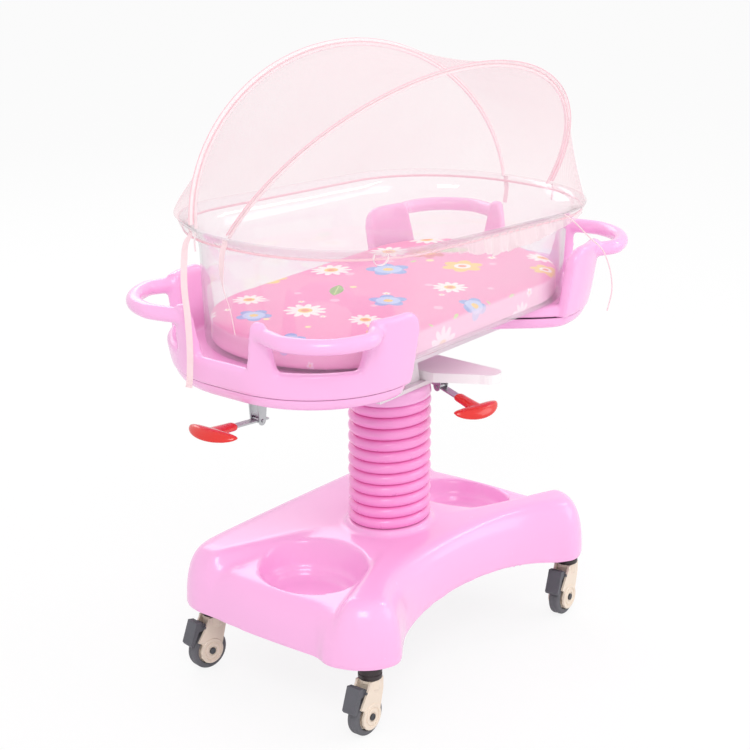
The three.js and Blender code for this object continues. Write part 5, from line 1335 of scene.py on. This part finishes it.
def tyre_profile():
    inner, outer, half = WHEEL_RADIUS - 10.7, WHEEL_RADIUS, TYRE_HALF
    crown = [(outer - 5 + 5 * math.sin(a), half - 5 + 5 * math.cos(a)) for a in np.linspace(0, math.pi / 2, 7)]
    other = [(r, -w) for r, w in crown[::-1]]
    grooves = [(outer, 3), (outer - 0.7, 2.4), (outer - 0.7, -2.4), (outer, -3)]
    return [(inner, half - 0.6), (inner + 1, half), *crown, *grooves, *other, (inner + 1, -half), (inner, -half + 0.6)]


def boss_rings(side):
    """Stepped rings round the axle on the outside of a fork cheek."""
    face = 16.5
    steps = [(24.5, face - 0.4), (24.5, face + 0.6), (23.7, face + 1.4), (18.6, face + 1.4), (18, face + 0.1),
             (15.6, face + 0.1), (15, face + 1.4), (9.6, face + 1.4), (9.2, face + 0.4), (8, face + 0.4),
             (8, face - 0.4)]
    return [(r, side * w) for r, w in steps]


def bolt_profile(side):
    face = 16.8
    steps = [(0.01, face), (6.5, face), (6.5, face + 2), (5.6, face + 2.8), (3.2, face + 2.8), (3, face + 1.6), (0.01, face + 1.6)]
    return [(r, side * w) for r, w in steps]


def caster_collar(place):
    x, y, _ = PLACES[place]
    low, high = 104.3, 129.3
    profile = [(0.01, low), (19.5, low), (21, low + 1), (21.5, low + 2.5), (21.5, low + 9), (20.3, low + 9.8), (20.3, low + 12),
               (21.5, low + 12.8), (21.5, high - 2), (20.5, high), (6, high), (6, high + 18), (0.01, high + 18)]
    obj = revolve("caster_collar_turned_" + place, profile, 40, 30)
    obj.data.transform(Matrix.Translation((x / 1000, y / 1000, 0)))
    return obj


def bevelled(node, width_mm, material, segments=2, angle=32):
    """A solid that stays as it is, with eased edges and a better look."""
    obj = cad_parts[node]
    smooth(obj, 30)
    edge = obj.modifiers.new("edge", "BEVEL")
    edge.width = width_mm / 1000
    edge.segments = segments
    edge.limit_method = "ANGLE"
    edge.angle_limit = math.radians(angle)
    edge.harden_normals = True
    dress(obj, material)
    return obj


for place in PLACES:
    stand_for(lathe_across("tyre_round_" + place, place, tyre_profile(), 64), grey, "wheel_" + place, "tyre_" + place,
              slot="tyre_rubber")
    for side in (1, -1):
        tag = place + ("_out" if side > 0 else "_in")
        stand_for(lathe_across("fork_boss_" + tag, place, boss_rings(side)), beige, "swivel_" + place,
                  slot="beige_plastic")
        stand_for(lathe_across("axle_bolt_" + tag, place, bolt_profile(side), 32), dark_steel, "swivel_" + place,
                  slot="dark_steel")
    stand_for(caster_collar(place), black, "base", "caster_collar_" + place, slot="black_plastic")
    bevelled("caster_fork_" + place, 0.8, beige)
    bevelled("wheel_core_" + place, 0.4, beige)
    bevelled("brake_pedal_" + place, 1.2, pedal_grey, 3)
    dress(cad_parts["caster_axle_" + place], dark_steel)


# Levers: soft red grips on plated strips and brackets

LEVERS = {
    "tilt": dict(place=(-370, 0, 609.6), heading=180, drop=56, reach=62, pitch=5),
    "height": dict(place=(92, -50, 522.6), heading=-102, drop=22, reach=48, pitch=-10),
}
GRIP_WIDTH = 104
GRIP_CHORD = 32
GRIP_DEPTH = 24
SOCKET_LENGTH = 52
SOCKET_HALF = (12, 7.5)


def lever_frame(lever, points):
    """Points drawn along +X from the pivot, set in place."""
    pitch, heading = -math.radians(lever["pitch"]), math.radians(lever["heading"])
    p = np.array(points, float)
    x = p[:, 0] * math.cos(pitch) + p[:, 2] * math.sin(pitch)
    z = -p[:, 0] * math.sin(pitch) + p[:, 2] * math.cos(pitch) - lever["drop"]
    y = p[:, 1]
    return np.column_stack([x * math.cos(heading) - y * math.sin(heading), x * math.sin(heading) + y * math.cos(heading),
                            z]) + np.array(lever["place"])


def grip(name, lever):
    """A crossbar whose outer edge droops to a pull lip, moulded on a flared socket."""
    reach = lever["reach"]
    centre = reach + SOCKET_LENGTH + GRIP_CHORD * 0.3
    turn = np.arange(28) / 28 * 2 * math.pi
    bar = []
    for across in np.sin(np.linspace(-1, 1, 33) * math.pi / 2):
        fullness = math.sqrt(1.06 - across ** 2)
        c, s = np.cos(turn), np.sin(turn)
        lip = GRIP_DEPTH * 0.32 * fullness * np.maximum(0, c) ** 1.5
        bar.append(lever_frame(lever, np.column_stack([
            centre - 10 * across ** 2 + GRIP_CHORD / 2 * fullness * c, np.full(28, across * GRIP_WIDTH / 2),
            GRIP_DEPTH * 0.34 * fullness * s - lip])))
    socket = []
    for share in (0, 0.02, 0.06, 0.12, 0.3, 0.55, 0.8, 1.1):
        fullness = 0.8 + 0.2 * float(smoothstep(share, 0, 0.1))
        flare = 1 + 0.35 * share ** 2
        socket.append(lever_frame(lever, np.column_stack([
            np.full(28, reach + SOCKET_LENGTH * share), SOCKET_HALF[0] * fullness * flare * np.cos(turn),
            SOCKET_HALF[1] * fullness * np.sin(turn)])))
    return melt(join(name, [loft("bar", bar), loft("socket", socket)]), 1.4, 5)


for name, lever in LEVERS.items():
    stand_for(grip(name + "_grip_moulded", lever), red, name + "_lever", name + "_lever_grip", slot="red_grip")
    bevelled(name + "_lever_bracket", 0.5, zinc)
    bevelled(name + "_lever_strip", 0.4, zinc)
    bevelled(name + "_lever_pin", 0.4, zinc)


# Solids that keep their own shape

bevelled("support_board", 2.5, white, 4)
for node in ("column_outer_tube", "column_inner_tube", "lift_gas_rod", "tilt_pin", "tilt_gas_rod"):
    bevelled(node, 0.4, zinc, 1)
for node in ("base_frame", "lift_gas_cylinder", "tilt_gas_cylinder"):
    bevelled(node, 1.0, dark_steel)
for node in ("column_head", "bed_subframe"):
    bevelled(node, 1.0, enamel)
bevelled("guide_bush", 0.4, black, 1)
